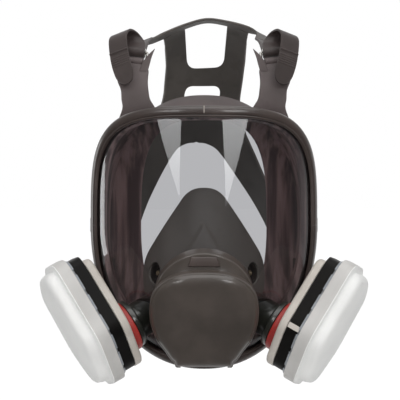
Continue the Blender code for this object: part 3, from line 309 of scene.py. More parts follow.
def lens_ring(scale, offset):
    points = []
    for x, z in OUTLINE:
        points.append(lens_point(x * scale, z * scale) + lens_normal(x * scale, z * scale) * offset)
    return points


def clear_polycarbonate():
    """Lets the inside show, and mirrors the lamps more at the turned edges than in the middle."""
    material, shade, shader, output = new_material("clear_polycarbonate")
    shader.inputs["Base Color"].default_value = (0.95, 0.96, 0.97, 1.0)
    shader.inputs["Metallic"].default_value = 1.0
    place = shade.out("TexCoord", output=3)
    haze = shade.out("TexNoise", Vector=place, Scale=90.0, Detail=4.0)
    link(0.018 + haze * 0.02, shader.inputs["Roughness"])
    # The transparent part passes about 0.69 at each face: painted shade, a grey tint that darkens the white
    # backdrop seen through the lens.
    clear = shade.out("BsdfTransparent", Color=(0.688, 0.69, 0.702, 1.0))
    share = shade.out("Fresnel", IOR=1.52) * (1.0 - shade.out("NewGeometry", output=6))
    mixed = shade.out("MixShader", i0=share, i1=clear, i2=shade)
    link(mixed, output.inputs["Surface"])
    return material


def lens():
    scales = [0.04 + 0.96 * (i / 22) ** 0.8 for i in range(23)]
    outer = [lens_ring(scale, 0.0) for scale in scales]
    inner = [lens_ring(scale, -LENS_THICK) for scale in reversed(scales)]
    body = loft("visor_lens", outer + inner, clear_polycarbonate())
    reach = 0.04
    hole = [(ADAPTER_HOLE, -reach), (ADAPTER_HOLE, reach)]
    carve(body, turned("hole", ADAPTER_PLACE, hole, None, hollow=False))
    for name, side in SIDES:
        hole = [(PORT_HOLE, -reach), (PORT_HOLE, reach)]
        carve(body, turned("hole_" + name, PORT_PLACE, hole, None, side, hollow=False))
    body.data.shade_smooth()
    body.visible_shadow = False
    settle(body, "mask", "clear_lens", "lens")


lens()

# Lens frame. Two satin plastic mouldings, brow and chin, that clamp the lens and the bead of the seal in
# one channel. They meet at the temples, where a screw through a lug on each half draws them together.

FRAME_WALL, FRAME_LIP, FRAME_REAR_LIP, BEAD_DEPTH = 0.0027, 0.0070, 0.0033, 0.0036
JOINT_GAP = 0.0001
LUG_LENGTH, LUG_REACH = 0.0065, 0.0110
FRAME_OUTER = GAP + FRAME_WALL
CHANNEL_BACK = LENS_THICK + GAP + BEAD_DEPTH + GAP
FRAME_BACK = CHANNEL_BACK + FRAME_WALL * 0.7
FRAME_SECTION = (
    (-FRAME_LIP, -GAP),
    (-FRAME_LIP - 0.0001, -0.0014),
    (-0.0067, -0.0023),
    (-0.0060, -0.0026),
    (-0.0056, -0.0025),
    (-0.0053, -0.0019),
    (-0.0049, -0.0025),
    (-0.0044, -0.0029),
    (-0.0024, -0.0033),
    (0.0000, -0.0033),
    (0.0015, -0.0029),
    (0.0025, -0.0020),
    (FRAME_OUTER, -0.0006),
    (FRAME_OUTER, 0.0062),
    (0.0026, 0.0078),
    (0.0016, FRAME_BACK),
    (-FRAME_REAR_LIP, FRAME_BACK),
    (-FRAME_REAR_LIP, CHANNEL_BACK),
    (GAP, CHANNEL_BACK),
    (GAP, -GAP),
)


class Station:
    """A place on the lens edge: its point, and the directions along, away from and behind the edge."""

    def __init__(self, index):
        x, z = OUTLINE[index % STATIONS]
        after = OUTLINE[(index + 1) % STATIONS]
        before = OUTLINE[(index - 1) % STATIONS]
        self.turn = math.atan2(z, x)
        self.point = lens_point(x, z)
        self.back = -lens_normal(x, z)
        along = lens_point(*after) - lens_point(*before)
        self.along = (along - self.back * along.dot(self.back)).normalized()
        self.away = self.along.cross(self.back).normalized()
        if self.away.dot(Vector((x, 0.0, z))) < 0.0:
            self.away = -self.away

    def at(self, away, back, along=0.0):
        return self.point + self.away * away + self.back * back + self.along * along


EDGE = [Station(i) for i in range(STATIONS)]


def moulded(name, dark, pale, roughness, grain=1800.0, relief=0.00004, coat=0.0, specular=0.5):
    """Moulded plastic: a spark-eroded grain, slow drifts of tone and gloss, and paler edges: a painted
    highlight along them, with a little rubbed wear.
    """
    material, shade, shader, output = new_material(name)
    place = shade.out("TexCoord", output=3)
    drift = shade.out("TexNoise", Vector=place, Scale=34.0, Detail=3.0)
    fine = shade.out("TexNoise", Vector=place, Scale=grain, Detail=2.0)
    # Paler where the surface turns sharply: a painted highlight along the edges, with a little rubbed wear.
    edge = shade.out("NewGeometry", output=7).step(0.515, 0.60)
    tone = drift.step(0.30, 0.72) * 0.55 + fine * 0.25 + edge * 0.35
    link(tone.blend(dark, pale), shader.inputs["Base Color"])
    link(roughness + drift * 0.10 + fine * 0.05 - 0.07, shader.inputs["Roughness"])
    shader.inputs["Specular IOR Level"].default_value = specular
    shader.inputs["Coat Weight"].default_value = coat
    shader.inputs["Coat Roughness"].default_value = 0.12
    bump = shade.out("Bump", Height=fine, Strength=0.35, Distance=relief)
    link(bump, shader.inputs["Normal"])
    return material


FRAME_PLASTIC = moulded("frame_plastic", rgb(51, 42, 39), rgb(75, 64, 60), 0.36, coat=0.5)


def drawn_steel(name, bright, dull_tone, roughness=0.22):
    """Drawn or turned steel: streaks along it and a few duller spots."""
    material, shade, shader, output = new_material(name)
    place = shade.out("TexCoord", output=3)
    spots = shade.out("TexNoise", Vector=place, Scale=420.0, Detail=4.0)
    streak = shade.out("TexNoise", Vector=place, Scale=2600.0, Detail=1.0)
    dull = spots.step(0.48, 0.70)
    link(dull.blend(bright, dull_tone), shader.inputs["Base Color"])
    link(roughness + dull * 0.18 + streak * 0.06, shader.inputs["Roughness"])
    shader.inputs["Metallic"].default_value = 1.0
    bump = shade.out("Bump", Height=streak, Strength=0.2, Distance=0.00002)
    link(bump, shader.inputs["Normal"])
    return material


STEEL = drawn_steel("plated_steel", rgb(214, 212, 208), rgb(160, 156, 150))
BLACK_STEEL = drawn_steel("blackened_steel", rgb(74, 70, 68), rgb(46, 43, 42), 0.38)


def frame_half(name, node, first):
    last = first + STATIONS // 2
    rings = []
    for i in range(first, last + 1):
        shift = JOINT_GAP if i == first else -JOINT_GAP if i == last else 0.0
        rings.append([EDGE[i % STATIONS].at(away, back, shift) for away, back in FRAME_SECTION])
    body = loft(name, rings, FRAME_PLASTIC)
    upper = first == 0
    middle = (FRAME_OUTER + LUG_REACH) / 2.0
    depth = FRAME_BACK * 0.75
    half = (LUG_REACH - FRAME_OUTER) / 2.0
    root = half + FRAME_WALL * 0.6
    for index in (0, STATIONS // 2):
        station = EDGE[index]
        upright = station.along if station.along.z > 0.0 else -station.along
        place = placer(station.at(middle, depth / 2.0), station.away, station.back, upright)
        edge = depth / 2.0
        soft = 0.0012
        outline = [(-root, edge), (half - soft, edge), (half, edge - soft)]
        outline += [(a, -b) for a, b in reversed(outline)]
        levels = (JOINT_GAP, LUG_LENGTH - 0.0010, LUG_LENGTH)
        shrink = (1.0, 1.0, 0.86)
        rings = []
        for level, share in zip(levels, shrink):
            height = level if upper else -level
            rings.append([place(a * share if a > 0.0 else a, b * share, height) for a, b in outline])
        carve(body, loft("lug", rings, None), "UNION")
        hole = [(0.0018, -0.02), (0.0018, 0.02)]
        carve(body, turned("screw_hole", place, hole, None, hollow=False, count=24))
    body.data.set_sharp_from_angle(angle=math.radians(35.0))
    settle(body, "mask", "frame_plastic", node)


KEY_HALF_LENGTH = 0.0006
KEY_SECTION = (
    (-0.0042, -0.0024),
    (-0.0042, -0.0036),
    (0.0008, -0.0038),
    (0.0024, -0.0026),
    (0.0024, -0.0010),
)


def brow_key():
    """A small rib at the middle of the brow, in a paler plastic than the frame: a painted highlight on it."""
    station = EDGE[STATIONS // 4]
    ends = (-KEY_HALF_LENGTH, KEY_HALF_LENGTH)
    rings = [[station.at(away, back, along) for away, back in KEY_SECTION] for along in ends]
    settle(loft("brow_key", rings, KEY_HIGHLIGHT_PLASTIC), "mask", "frame_plastic")


# The rib's paler plastic is a painted highlight.
KEY_HIGHLIGHT_PLASTIC = moulded("key_highlight_plastic", rgb(112, 104, 99), rgb(146, 138, 132), 0.4)
frame_half("brow_frame", "upper_frame", 0)
frame_half("chin_frame", "lower_frame", STATIONS // 2)
brow_key()


def dress(material, *nodes):
    """Gives CAD nodes whose own shape is right a finish."""
    for node in nodes:
        mesh = frame["nodes"][node].data
        mesh.materials.clear()
        mesh.materials.append(material)


for name, side in SIDES:
    dress(BLACK_STEEL, "frame_screw_" + name, "frame_nut_" + name)

# Faceseal. A soft grey rubber skirt whose bead is clamped in the frame; it swells back to a rear rim and
# turns in to a feathered flange round the face opening. Four moulded tabs carry the strap buckles.

SEAL_THICK = 0.0026
RIM_HALF_WIDTH, RIM_TOP, RIM_CHIN = 0.0840, 0.1090, 0.1050
OPENING_HALF_WIDTH, OPENING_TOP, OPENING_CHIN = 0.0540, 0.0880, 0.0950
RIM_POWER, OPENING_POWER, FACE_FRONT_Y, RIM_WRAP, OPENING_WRAP = 2.3, 3.2, -0.0380, 0.0430, 0.0330
BUCKLE_WIRE, BUCKLE_HALF_WIDTH, BUCKLE_REACH = 0.0013, 0.0112, 0.0112
HEM_RADIUS, HEM_LENGTH, TAB_THICK = 0.0034, 0.0180, 0.0030
BEAD_FRONT = LENS_THICK + GAP
NECK_AWAY = -(FRAME_REAR_LIP + GAP)
NECK_BACK = FRAME_BACK + 0.0005


def inward(shade, place):
    """1 on faces that look forward or to the middle of the mask, and 0 on its outside; it places the painted
    light of the inside colours.
    """
    normal = shade.node("SeparateXYZ", Vector=shade.out("NewGeometry", output=1))
    spot = shade.node("SeparateXYZ", Vector=place)
    across = Shade(shade.tree, normal.outputs["X"]) * Shade(shade.tree, spot.outputs["X"])
    upright = Shade(shade.tree, normal.outputs["Z"]) * Shade(shade.tree, spot.outputs["Z"])
    behind = Shade(shade.tree, normal.outputs["Y"])
    return ((across + upright) * -10.0 - behind * 0.8).step(0.2, 0.5)


def moulded_rubber(name, dark, pale, roughness=0.58, bloom=0.5, inside=None):
    """Moulded rubber: a dusty bloom in patches, a fine mould grain, darker handling marks and paler edges, a
    painted highlight.

    With two colours for its inside, the faces that look inward are painted paler and streaked with them from
    top to bottom: painted light and painted reflections for the dim inside of the mask.
    """
    material, shade, shader, output = new_material(name)
    place = shade.out("TexCoord", output=3)
    cloud = shade.out("TexNoise", Vector=place, Scale=22.0, Detail=5.0)
    fine = shade.out("TexNoise", Vector=place, Scale=2400.0, Detail=2.0)
    marks = shade.out("TexNoise", Vector=place, Scale=70.0, Detail=3.0).step(0.55, 0.75)
    # Paler where the surface turns sharply: a painted highlight along the edges.
    edge = shade.out("NewGeometry", output=7).step(0.52, 0.62)
    tone = cloud.step(0.3, 0.7) * bloom + fine * 0.12 + edge * 0.30 - marks * 0.18
    colour = tone.blend(dark, pale)
    # Inward faces take the paler streaked colours: painted light and painted reflection streaks inside the
    # mask.
    if inside:
        drawn = shade.out("Mapping", Vector=place, Scale=(1.0, 1.0, 0.06))
        streak = shade.out("TexNoise", Vector=drawn, Scale=130.0, Detail=3.0)
        colour = inward(shade, place).blend(colour, streak.step(0.36, 0.66).blend(*inside))
    link(colour, shader.inputs["Base Color"])
    link(roughness + cloud * 0.12 - 0.06 + marks * 0.05, shader.inputs["Roughness"])
    bump = shade.out("Bump", Height=fine, Strength=0.06, Distance=0.00005)
    link(bump, shader.inputs["Normal"])
    return material


SEAL_RUBBER = moulded_rubber("seal_rubber", rgb(76, 66, 65), rgb(106, 95, 94))
# The skirt's inside colours are far paler than its outside: painted light for the inside of the seal.
SKIRT_RUBBER = moulded_rubber("skirt_rubber", rgb(68, 58, 57), rgb(97, 86, 85),
                              inside=(rgb(104, 86, 86), rgb(188, 158, 155)))


def smooth(points):
    """A Catmull-Rom spline through points, with 16 steps to each span."""
    path = [points[0] * 2.0 - points[1]] + list(points) + [points[-1] * 2.0 - points[-2]]
    fine = []
    for i in range(1, len(path) - 2):
        a, b, c, d = path[i - 1:i + 3]
        for j in range(16):
            t = j / 16.0
            fine.append((b * 2.0 + (c - a) * t + (a * 2.0 - b * 5.0 + c * 4.0 - d) * t * t
                         + (b * 3.0 - a - c * 3.0 + d) * t * t * t) * 0.5)
    return fine + [points[-1]]


def spline(points, count):
    return resampled(smooth(points), count, closed=False)


def seal_edge(turn, half_width, above, below, wrap, power=RIM_POWER):
    reach = oval_reach(turn, half_width, above, below, power, RIM_POWER)
    x = reach * math.cos(turn)
    return Vector((x, FACE_FRONT_Y + wrap * (x / half_width) ** 2, reach * math.sin(turn)))


def seal_section(station):
    """Once round the skirt's wall: bead, outer swell, rear rim, flange edge, and back along the inside."""
    rim = seal_edge(station.turn, RIM_HALF_WIDTH, RIM_TOP, RIM_CHIN, RIM_WRAP)
    opening = seal_edge(
        station.turn, OPENING_HALF_WIDTH, OPENING_TOP, OPENING_CHIN, OPENING_WRAP, OPENING_POWER)
    outward = Vector((rim.x, 0.0, rim.z)).normalized()
    forward = Vector((0.0, -SEAL_THICK, 0.0))
    inward = outward * -SEAL_THICK
    neck = station.at(NECK_AWAY, NECK_BACK)
    waist = neck.lerp(rim, 0.5) + outward * SEAL_THICK
    lip = opening + forward * 0.6
    flange = rim.lerp(opening, 0.55) + Vector((0.0, 0.0012, 0.0))
    inner_neck = station.at(NECK_AWAY - SEAL_THICK, NECK_BACK)
    outer = spline([neck, waist, rim + Vector((0.0, -0.0008, 0.0)) + inward * 0.1], 10)
    turn_in = spline([rim + inward * 0.35 + Vector((0.0, 0.0004, 0.0)), flange, opening], 9)
    turn_out = spline([lip, flange + forward * 0.9, rim + inward * 1.1 + forward], 9)
    inner = spline([rim + inward * 1.4 + forward * 1.3, waist + inward, inner_neck], 10)
    bead = [
        station.at(NECK_AWAY - SEAL_THICK, BEAD_FRONT + 0.0014),
        station.at(0.0, BEAD_FRONT),
        station.at(0.0, BEAD_FRONT + BEAD_DEPTH),
        station.at(NECK_AWAY, BEAD_FRONT + BEAD_DEPTH),
    ]
    return bead + outer + turn_in + turn_out + inner


class Buckle:
    """Where one strap meets the seal: the hem axis of the tab, the pull and the width directions."""

    def __init__(self, level, hem, pull, width):
        self.level = level
        self.hem = hem
        self.pull = pull.normalized()
        self.width = (width - self.pull * width.dot(self.pull)).normalized()
        self.out = self.width.cross(self.pull).normalized()
        self.bar = self.hem + self.pull * BUCKLE_REACH


UPPER = Buckle("upper", Vector((0.060, -0.031, 0.138)), Vector((-0.12, 0.62, 0.77)), RIGHT)
LOWER = Buckle("lower", Vector((0.0825, 0.021, -0.050)), Vector((0.12, 0.985, -0.10)), -UP)
UPPER_TAB = (
    (Vector((0.0548, -0.0420, 0.0885)), RIGHT * 0.0165),
    (Vector((0.0545, -0.0430, 0.0977)), RIGHT * 0.0137),
    (Vector((0.0570, -0.0426, 0.1050)), RIGHT * 0.0120),
    (Vector((0.0580, -0.0413, 0.1127)), RIGHT * 0.0116),
    (Vector((0.0596, -0.0390, 0.1194)), RIGHT * 0.0126),
    (Vector((0.0599, -0.0370, 0.1244)), RIGHT * 0.0131),
    (Vector((0.0590, -0.0347, 0.1294)), RIGHT * 0.0125),
    (Vector((0.0582, -0.0328, 0.1344)), RIGHT * 0.0098),
    (Vector((0.0590, -0.0310, 0.1380)), RIGHT * 0.0080),
)
UPPER_EAR = (
    (Vector((0.0508, -0.0360, 0.1290)), RIGHT * 0.0036),
    (Vector((0.0490, -0.0354, 0.1345)), RIGHT * 0.0034),
    (Vector((0.0468, -0.0349, 0.1400)), RIGHT * 0.0026),
    (Vector((0.0440, -0.0345, 0.1445)), RIGHT * 0.0014),
    (Vector((0.0415, -0.0342, 0.1478)), RIGHT * 0.0003),
)
LOWER_TAB = (
    (Vector((0.0780, -0.0070, -0.0440)), UP * -0.0150),
    (Vector((0.0805, 0.0060, -0.0460)), UP * -0.0120),
    (Vector((0.0820, 0.0150, -0.0490)), UP * -0.0100),
    (LOWER.hem, LOWER.width * (HEM_LENGTH / 2.0)),
)


def strip(name, rows, thick, material, side=1.0, count=40, round_ends=0.25, ridges=()):
    """A flat strip with rounded edges along rows of (middle, half width), smoothed between them.

    Each ridge is the share of the length where it stands, its half width there and its height.
    """
    path = smooth([middle for middle, half in rows])
    middles = resampled(path, count, closed=False)
    halves = resampled(smooth([half for middle, half in rows]), count, closed=False, along=path)
    rings = []
    for i, (middle, half) in enumerate(zip(middles, halves)):
        ahead = middles[min(i + 1, count - 1)] - middles[max(i - 1, 0)]
        swell = thick / 2.0
        for place, reach, height in ridges:
            swell += max(1.0 - ((i / (count - 1) - place) / reach) ** 2, 0.0) * height
        normal = ahead.cross(half).normalized() * swell
        edge = half.normalized() * min(thick * round_ends, half.length * 0.5)
        ring = []
        for across in (1, -1):
            side_edge = half * across
            lift = normal * across
            ring += [
                middle + side_edge - edge * across + lift,
                middle + side_edge * 0.45 + lift,
                middle - side_edge * 0.45 + lift,
                middle - side_edge + edge * across + lift,
                middle - side_edge + edge * across * 0.3 + lift * 0.55,
                middle - side_edge,
            ]
        rings.append(mirrored(ring, side))
    return loft(name, rings, material)


def faceseal():
    body = loft("seal_skirt", [seal_section(station) for station in EDGE], SKIRT_RUBBER, joined=True)
    settle(body, "mask", "grey_rubber", "faceseal")
    half = HEM_LENGTH / 2.0
    bore = BUCKLE_WIRE + 0.0005
    for name, side in SIDES:
        for buckle, rows in ((UPPER, UPPER_TAB), (LOWER, LOWER_TAB)):
            label = f"{buckle.level}_{name}"
            tab = strip("seal_tab_" + label, rows, TAB_THICK, SEAL_RUBBER, side)
            place = placer(buckle.hem, buckle.pull, buckle.out, buckle.width)
            hem = [(bore, -half), (HEM_RADIUS - 0.0006, -half), (HEM_RADIUS, 0.0006 - half),
                   (HEM_RADIUS, half - 0.0006), (HEM_RADIUS - 0.0006, half), (bore, half)]
            roll = turned("seal_hem_" + label, place, hem, SEAL_RUBBER, side, count=32)
            carve(tab, turned("bore", place, [(bore + 0.0002, -0.02), (bore + 0.0002, 0.02)], None, side,
                              hollow=False, count=32))
            settle(tab, "mask", "grey_rubber")
            if buckle is UPPER:
                ear = strip("seal_ear_" + name, UPPER_EAR, TAB_THICK * 0.6, SEAL_RUBBER, side)
                settle(ear, "mask", "grey_rubber")
            settle(roll, "mask", "grey_rubber")


faceseal()

# Centre fitting. A satin plastic housing seated on the front of the lens, with a tube through it that a
# ring nut draws tight on a gasket; a spider in the tube carries the exhalation valve.

ADAPTER_TUBE, ADAPTER_WALL = 0.0220, 0.0025
ADAPTER_FRONT, ADAPTER_DEPTH, ADAPTER_SEAT = 0.0090, 0.0215, 0.0040
FLANGE_RADIUS, FLANGE_RISE, FLANGE_FACE, FLANGE_CROWN = 0.0400, 0.0080, 0.0362, 0.0270
PORT_BOSS, PORT_GASKET_RADIUS = 0.0200, 0.0212
COVER_PLASTIC = moulded("cover_plastic", rgb(62, 55, 50), rgb(86, 77, 71), 0.40, coat=0.5)


def lens_shift(offset, shift):
    """A thick copy of the lens surface, as a cutter that lies behind it or before it."""
    scales = [0.04 + 1.02 * (i / 12) ** 0.8 for i in range(13)]
    back = Vector((0.0, shift, 0.0))
    front = [lens_ring(scale, offset) for scale in scales]
    rear = [[point + back for point in lens_ring(scale, offset)] for scale in reversed(scales)]
    return loft("lens_cutter", front + rear, None)


def housing_ring(radius, height, crown=None):
    """A ring round the housing, whose middle lies above the tube's; crown is its radius at the top."""
    points = []
    for i in range(96):
        turn = 2.0 * math.pi * i / 96
        lift = max(math.sin(turn), 0.0) ** 2
        reach = radius + ((crown or radius) - radius) * lift
        points.append(ADAPTER_PLACE(reach * math.cos(turn), reach * math.sin(turn) + FLANGE_RISE, height))
    return points


def adapter():
    inner = ADAPTER_TUBE - ADAPTER_WALL * 0.4
    core = [circle(ADAPTER_PLACE, inner, level, 96) for level in (ADAPTER_FRONT, -ADAPTER_DEPTH)]
    rings = core[::-1][:1] + [
        housing_ring(FLANGE_RADIUS, -ADAPTER_DEPTH),
        housing_ring(FLANGE_RADIUS, 0.0036),
        housing_ring(FLANGE_RADIUS - 0.0001, 0.0042),
        housing_ring(FLANGE_RADIUS - 0.0004, 0.0048),
        housing_ring(FLANGE_RADIUS - 0.0009, 0.0052),
        housing_ring(FLANGE_RADIUS - 0.0015, 0.0054),
        housing_ring(FLANGE_FACE + 0.0004, 0.0084, FLANGE_CROWN + 0.0008),
        housing_ring(FLANGE_FACE, ADAPTER_FRONT, FLANGE_CROWN),
    ] + core[:1]
    body = loft("centre_housing", rings, COVER_PLASTIC, joined=True)
    carve(body, lens_shift(0.0005, 0.05))
    for name, side in SIDES:
        room = PORT_BOSS + ADAPTER_WALL
        profile = [(room, -0.04), (room, 0.04)]
        carve(body, turned("port_room", PORT_PLACE, profile, None, side, hollow=False))
    body.data.set_sharp_from_angle(angle=math.radians(40.0))
    settle(body, "mask", "frame_plastic", "center_adapter")
    bore = ADAPTER_TUBE - ADAPTER_WALL
    web = 0.0145
    low = ADAPTER_SEAT - 0.0020
    profile = [(bore, -ADAPTER_DEPTH), (ADAPTER_TUBE, -ADAPTER_DEPTH), (ADAPTER_TUBE, ADAPTER_FRONT),
               (bore, ADAPTER_FRONT), (bore, ADAPTER_SEAT), (web, ADAPTER_SEAT), (web, low), (bore, low)]
    tube = turned("centre_tube", ADAPTER_PLACE, profile, FRAME_PLASTIC)
    settle(tube, "mask", "frame_plastic")
    for i in range(3):
        turn = 2.0 * math.pi * i / 3
        along = RIGHT * math.cos(turn) + ADAPTER_UP * math.sin(turn)
        across = ADAPTER_UP * math.cos(turn) - RIGHT * math.sin(turn)
        place = placer(ADAPTER_CENTRE, along, across, ADAPTER_AXIS)
        rings = []
        for reach in (0.0028, 0.0050, 0.0125, 0.0150):
            width = 0.0010 + 0.0006 * abs(reach - 0.009) / 0.006
            high = ADAPTER_SEAT - GAP
            corners = ((-width, low), (width, low), (width, high), (-width, high))
            rings.append([place(reach, b, c) for b, c in corners])
        settle(loft(f"centre_spoke_{i}", rings, FRAME_PLASTIC), "mask", "frame_plastic")
    hub = [(0.0019, low), (0.0038, low), (0.0040, low + 0.0004), (0.0040, ADAPTER_SEAT),
           (0.0019, ADAPTER_SEAT)]
    settle(turned("centre_hub", ADAPTER_PLACE, hub, FRAME_PLASTIC, count=40), "mask", "frame_plastic")


adapter()
DARK_RUBBER = moulded_rubber("dark_rubber", rgb(48, 45, 42), rgb(74, 70, 66), 0.55)
VALVE_RUBBER = moulded_rubber("valve_rubber", rgb(140, 122, 98), rgb(170, 152, 124), 0.5)
dress(DARK_RUBBER, "adapter_gasket")
dress(FRAME_PLASTIC, "adapter_nut")
dress(VALVE_RUBBER, "exhalation_valve")


# Exhalation cover. A satin moulded cap over the exhalation valve, round above and drawn in below to a
# flat outlet that points down; it seats on the front of the centre fitting and clips there by a latch.

COVER_HALF_WIDTH, COVER_RISE, COVER_POWER, COVER_DROP, COVER_OUTLET = 0.0438, 0.0355, 2.5, 0.0480, 0.0230
COVER_DEPTH, COVER_WALL = 0.0140, 0.0020


def cover_outline():
    """The cover seen along its axis."""
    shoulder = math.radians(20.0)
    points = []
    for i in range(81):
        turn = -shoulder + (math.pi + 2.0 * shoulder) * i / 80
        reach = oval_reach(turn, COVER_HALF_WIDTH, COVER_RISE, COVER_DROP, COVER_POWER, 2.0)
        points.append(Vector((reach * math.cos(turn), reach * math.sin(turn))))
    step = COVER_OUTLET * 0.11
    side = [
        Vector((COVER_OUTLET + 6.0 * step, -COVER_DROP * 0.50)),
        Vector((COVER_OUTLET + 3.4 * step, -COVER_DROP * 0.70)),
        Vector((COVER_OUTLET + 1.5 * step, -COVER_DROP * 0.86)),
        Vector((COVER_OUTLET + 0.6 * step, -COVER_DROP * 0.89)),
        Vector((COVER_OUTLET, -COVER_DROP)),
    ]
    left = [Vector((-point.x, point.y)) for point in side]
    return resampled(points + left + side[::-1], 160, closed=True)


LATCH_FOOT, LATCH_TAPER = 0.0050, 0.0006
LATCH_ROWS = (
    (0.0132, 0.0378, 0.0080),
    (0.0130, 0.0386, 0.0088),
    (0.0108, 0.0444, 0.0069),
    (0.0105, 0.0452, 0.0059),
)


def exhalation_cover():
    outline = cover_outline()
    base = ADAPTER_FRONT + GAP
    inset = COVER_WALL / COVER_HALF_WIDTH

    def ring(scale, share, depth=COVER_DEPTH):
        return [ADAPTER_PLACE(point.x * scale, point.y * scale, base + depth * share) for point in outline]

    outer = [(1.0, 0.0), (1.0, 0.30), (0.994, 0.38), (0.982, 0.43), (0.968, 0.445), (0.960, 0.47),
             (0.950, 0.54), (0.925, 0.63), (0.880, 0.72), (0.81, 0.80), (0.71, 0.87), (0.58, 0.925),
             (0.42, 0.965), (0.25, 0.99), (0.05, 1.0)]
    inner = [(scale - inset, share) for scale, share in outer[1:-1]]
    foot = COVER_WALL / COVER_DEPTH
    rings = [ring(scale, share * 0.86) for scale, share in reversed(inner)]
    rings += [ring(1.0 - inset, foot), ring(0.82, foot), ring(0.82, 0.0)]
    rings += [ring(scale, share) for scale, share in outer]
    body = loft("exhalation_cap", rings, COVER_PLASTIC)
    half = COVER_OUTLET - 2.0 * COVER_WALL
    low = -COVER_DROP - COVER_WALL
    high = -COVER_DROP + 2.5 * COVER_WALL
    levels = (base + COVER_WALL, base + COVER_DEPTH * 0.5)
    corners = ((-half, low), (half, low), (half, high), (-half, high))
    carve(body, loft("outlet", [[ADAPTER_PLACE(a, b, c) for a, b in corners] for c in levels], None))
    body.data.set_sharp_from_angle(angle=math.radians(32.0))
    settle(body, "mask", "cover_plastic", "exhalation_cover")
    latch = []
    for half, drop, rise in LATCH_ROWS:
        narrow = half - LATCH_TAPER
        latch.append([ADAPTER_PLACE(-half, drop, LATCH_FOOT), ADAPTER_PLACE(half, drop, LATCH_FOOT),
                      ADAPTER_PLACE(narrow, drop, rise), ADAPTER_PLACE(-narrow, drop, rise)])
    settle(loft("cover_latch", latch, FRAME_PLASTIC), "mask", "cover_plastic")


exhalation_cover()

# Cartridge ports. Turned plastic necks through the lens, each with a flared seat, a red rubber gasket for
# the cartridge, bayonet lugs on its tube, a ring nut inside and a flap valve behind.

PORT_NECK, PORT_TUBE, PORT_WALL, PORT_HEIGHT, PORT_INSIDE = 0.0150, 0.0120, 0.0020, 0.0128, 0.0178
PORT_GASKET, CARTRIDGE_FLOOR = 0.0064, 0.0020
CARTRIDGE_BASE = PORT_HEIGHT + GAP + PORT_GASKET + GAP
LUG_BASE = CARTRIDGE_BASE + CARTRIDGE_FLOOR + GAP
LUG_TOP = LUG_BASE + 0.0025
PORT_PLASTIC = moulded("port_plastic", rgb(25, 26, 23), rgb(44, 45, 40), 0.30, coat=0.6)
RED_RUBBER = moulded_rubber("gasket_rubber", rgb(150, 34, 30), rgb(190, 58, 50), 0.42)


PORT_LUG_RADIUS = 0.0148


def round_port(turn, corners, side):
    """Corners of a section, each a radius and a height, at a bearing about the port's axis."""
    points = [PORT_PLACE(r * math.cos(turn), r * math.sin(turn), height) for r, height in corners]
    return mirrored(points, side)


def port(name, side):
    core = PORT_TUBE - PORT_WALL * 0.5
    rim = PORT_HEIGHT * 0.55
    boss = [
        (core, -PORT_INSIDE),
        (PORT_NECK, -PORT_INSIDE),
        (PORT_NECK, rim - 0.0008),
        (PORT_NECK + 0.0004, rim),
        (PORT_BOSS - 0.0012, rim + 0.0010),
        (PORT_BOSS - 0.0004, rim + 0.0014),
        (PORT_BOSS, rim + 0.0022),
        (PORT_BOSS, PORT_HEIGHT - 0.0005),
        (PORT_BOSS - 0.0005, PORT_HEIGHT),
        (core, PORT_HEIGHT),
    ]
    body = turned("port_neck_" + name, PORT_PLACE, boss, PORT_PLASTIC, side)
    carve(body, lens_shift(0.0005, 0.05))
    settle(body, "mask", "frame_plastic", "port_" + name)
    bore = PORT_TUBE - PORT_WALL
    web = bore - PORT_WALL * 1.5
    floor_level = -PORT_INSIDE + 0.0020
    soft = 0.0005
    tube = [(web, -PORT_INSIDE), (PORT_TUBE, -PORT_INSIDE), (PORT_TUBE, LUG_TOP - soft),
            (PORT_TUBE - soft, LUG_TOP), (bore, LUG_TOP), (bore, floor_level), (web, floor_level)]
    settle(turned("port_tube_" + name, PORT_PLACE, tube, PORT_PLASTIC, side), "mask", "frame_plastic")
    for i in range(3):
        first = math.radians(4.0) + 2.0 * math.pi * i / 3
        rings = []
        for j in range(9):
            turn = first + math.radians(40.0) * j / 8
            tip = PORT_LUG_RADIUS - (0.0006 if j in (0, 8) else 0.0)
            high = LUG_TOP - GAP
            corners = ((core, LUG_BASE), (tip, LUG_BASE), (tip, high), (core, high))
            rings.append(round_port(turn, corners, side))
        settle(loft(f"port_lug_{name}_{i}", rings, PORT_PLASTIC), "mask", "frame_plastic")
        turn = 2.0 * math.pi * i / 3
        along = PORT_LONG * math.cos(turn) + PORT_FRONT * math.sin(turn)
        across = PORT_FRONT * math.cos(turn) - PORT_LONG * math.sin(turn)
        place = placer(PORT_CENTRE, along, across, PORT_AXIS)
        rings = []
        for reach in (0.0028, 0.0045, 0.0085):
            half = 0.001
            corners = ((-half, -PORT_INSIDE), (half, -PORT_INSIDE), (half, floor_level), (-half, floor_level))
            rings.append(mirrored([place(reach, b, c) for b, c in corners], side))
        settle(loft(f"port_spoke_{name}_{i}", rings, PORT_PLASTIC), "mask", "frame_plastic")
    hub = [(0.0019, -PORT_INSIDE), (0.0040, -PORT_INSIDE), (0.0040, floor_level), (0.0019, floor_level)]
    settle(turned("port_hub_" + name, PORT_PLACE, hub, PORT_PLASTIC, side, count=40), "mask", "frame_plastic")
    ring = PORT_TUBE + GAP
    seat = PORT_HEIGHT + GAP
    top = seat + PORT_GASKET
    wide = PORT_GASKET_RADIUS
    gasket = [(ring, seat), (wide - 0.0012, seat), (wide - 0.0003, seat + 0.0005), (wide, seat + 0.0015),
              (wide, top - 0.0010), (wide - 0.0004, top - 0.0003), (wide - 0.0012, top), (ring, top)]
    body = turned("port_seal_" + name, PORT_PLACE, gasket, RED_RUBBER, side)
    settle(body, "mask", "red_rubber", "port_gasket_" + name)
    dress(FRAME_PLASTIC, "port_nut_" + name)
    dress(VALVE_RUBBER, "inhalation_valve_" + name)


for name, side in SIDES:
    port(name, side)

# Cartridges. A cream plastic back with a collar that locks on the port, and a can above it that holds the
# carbon bed under a grille; a plain black band is wrapped round the can.

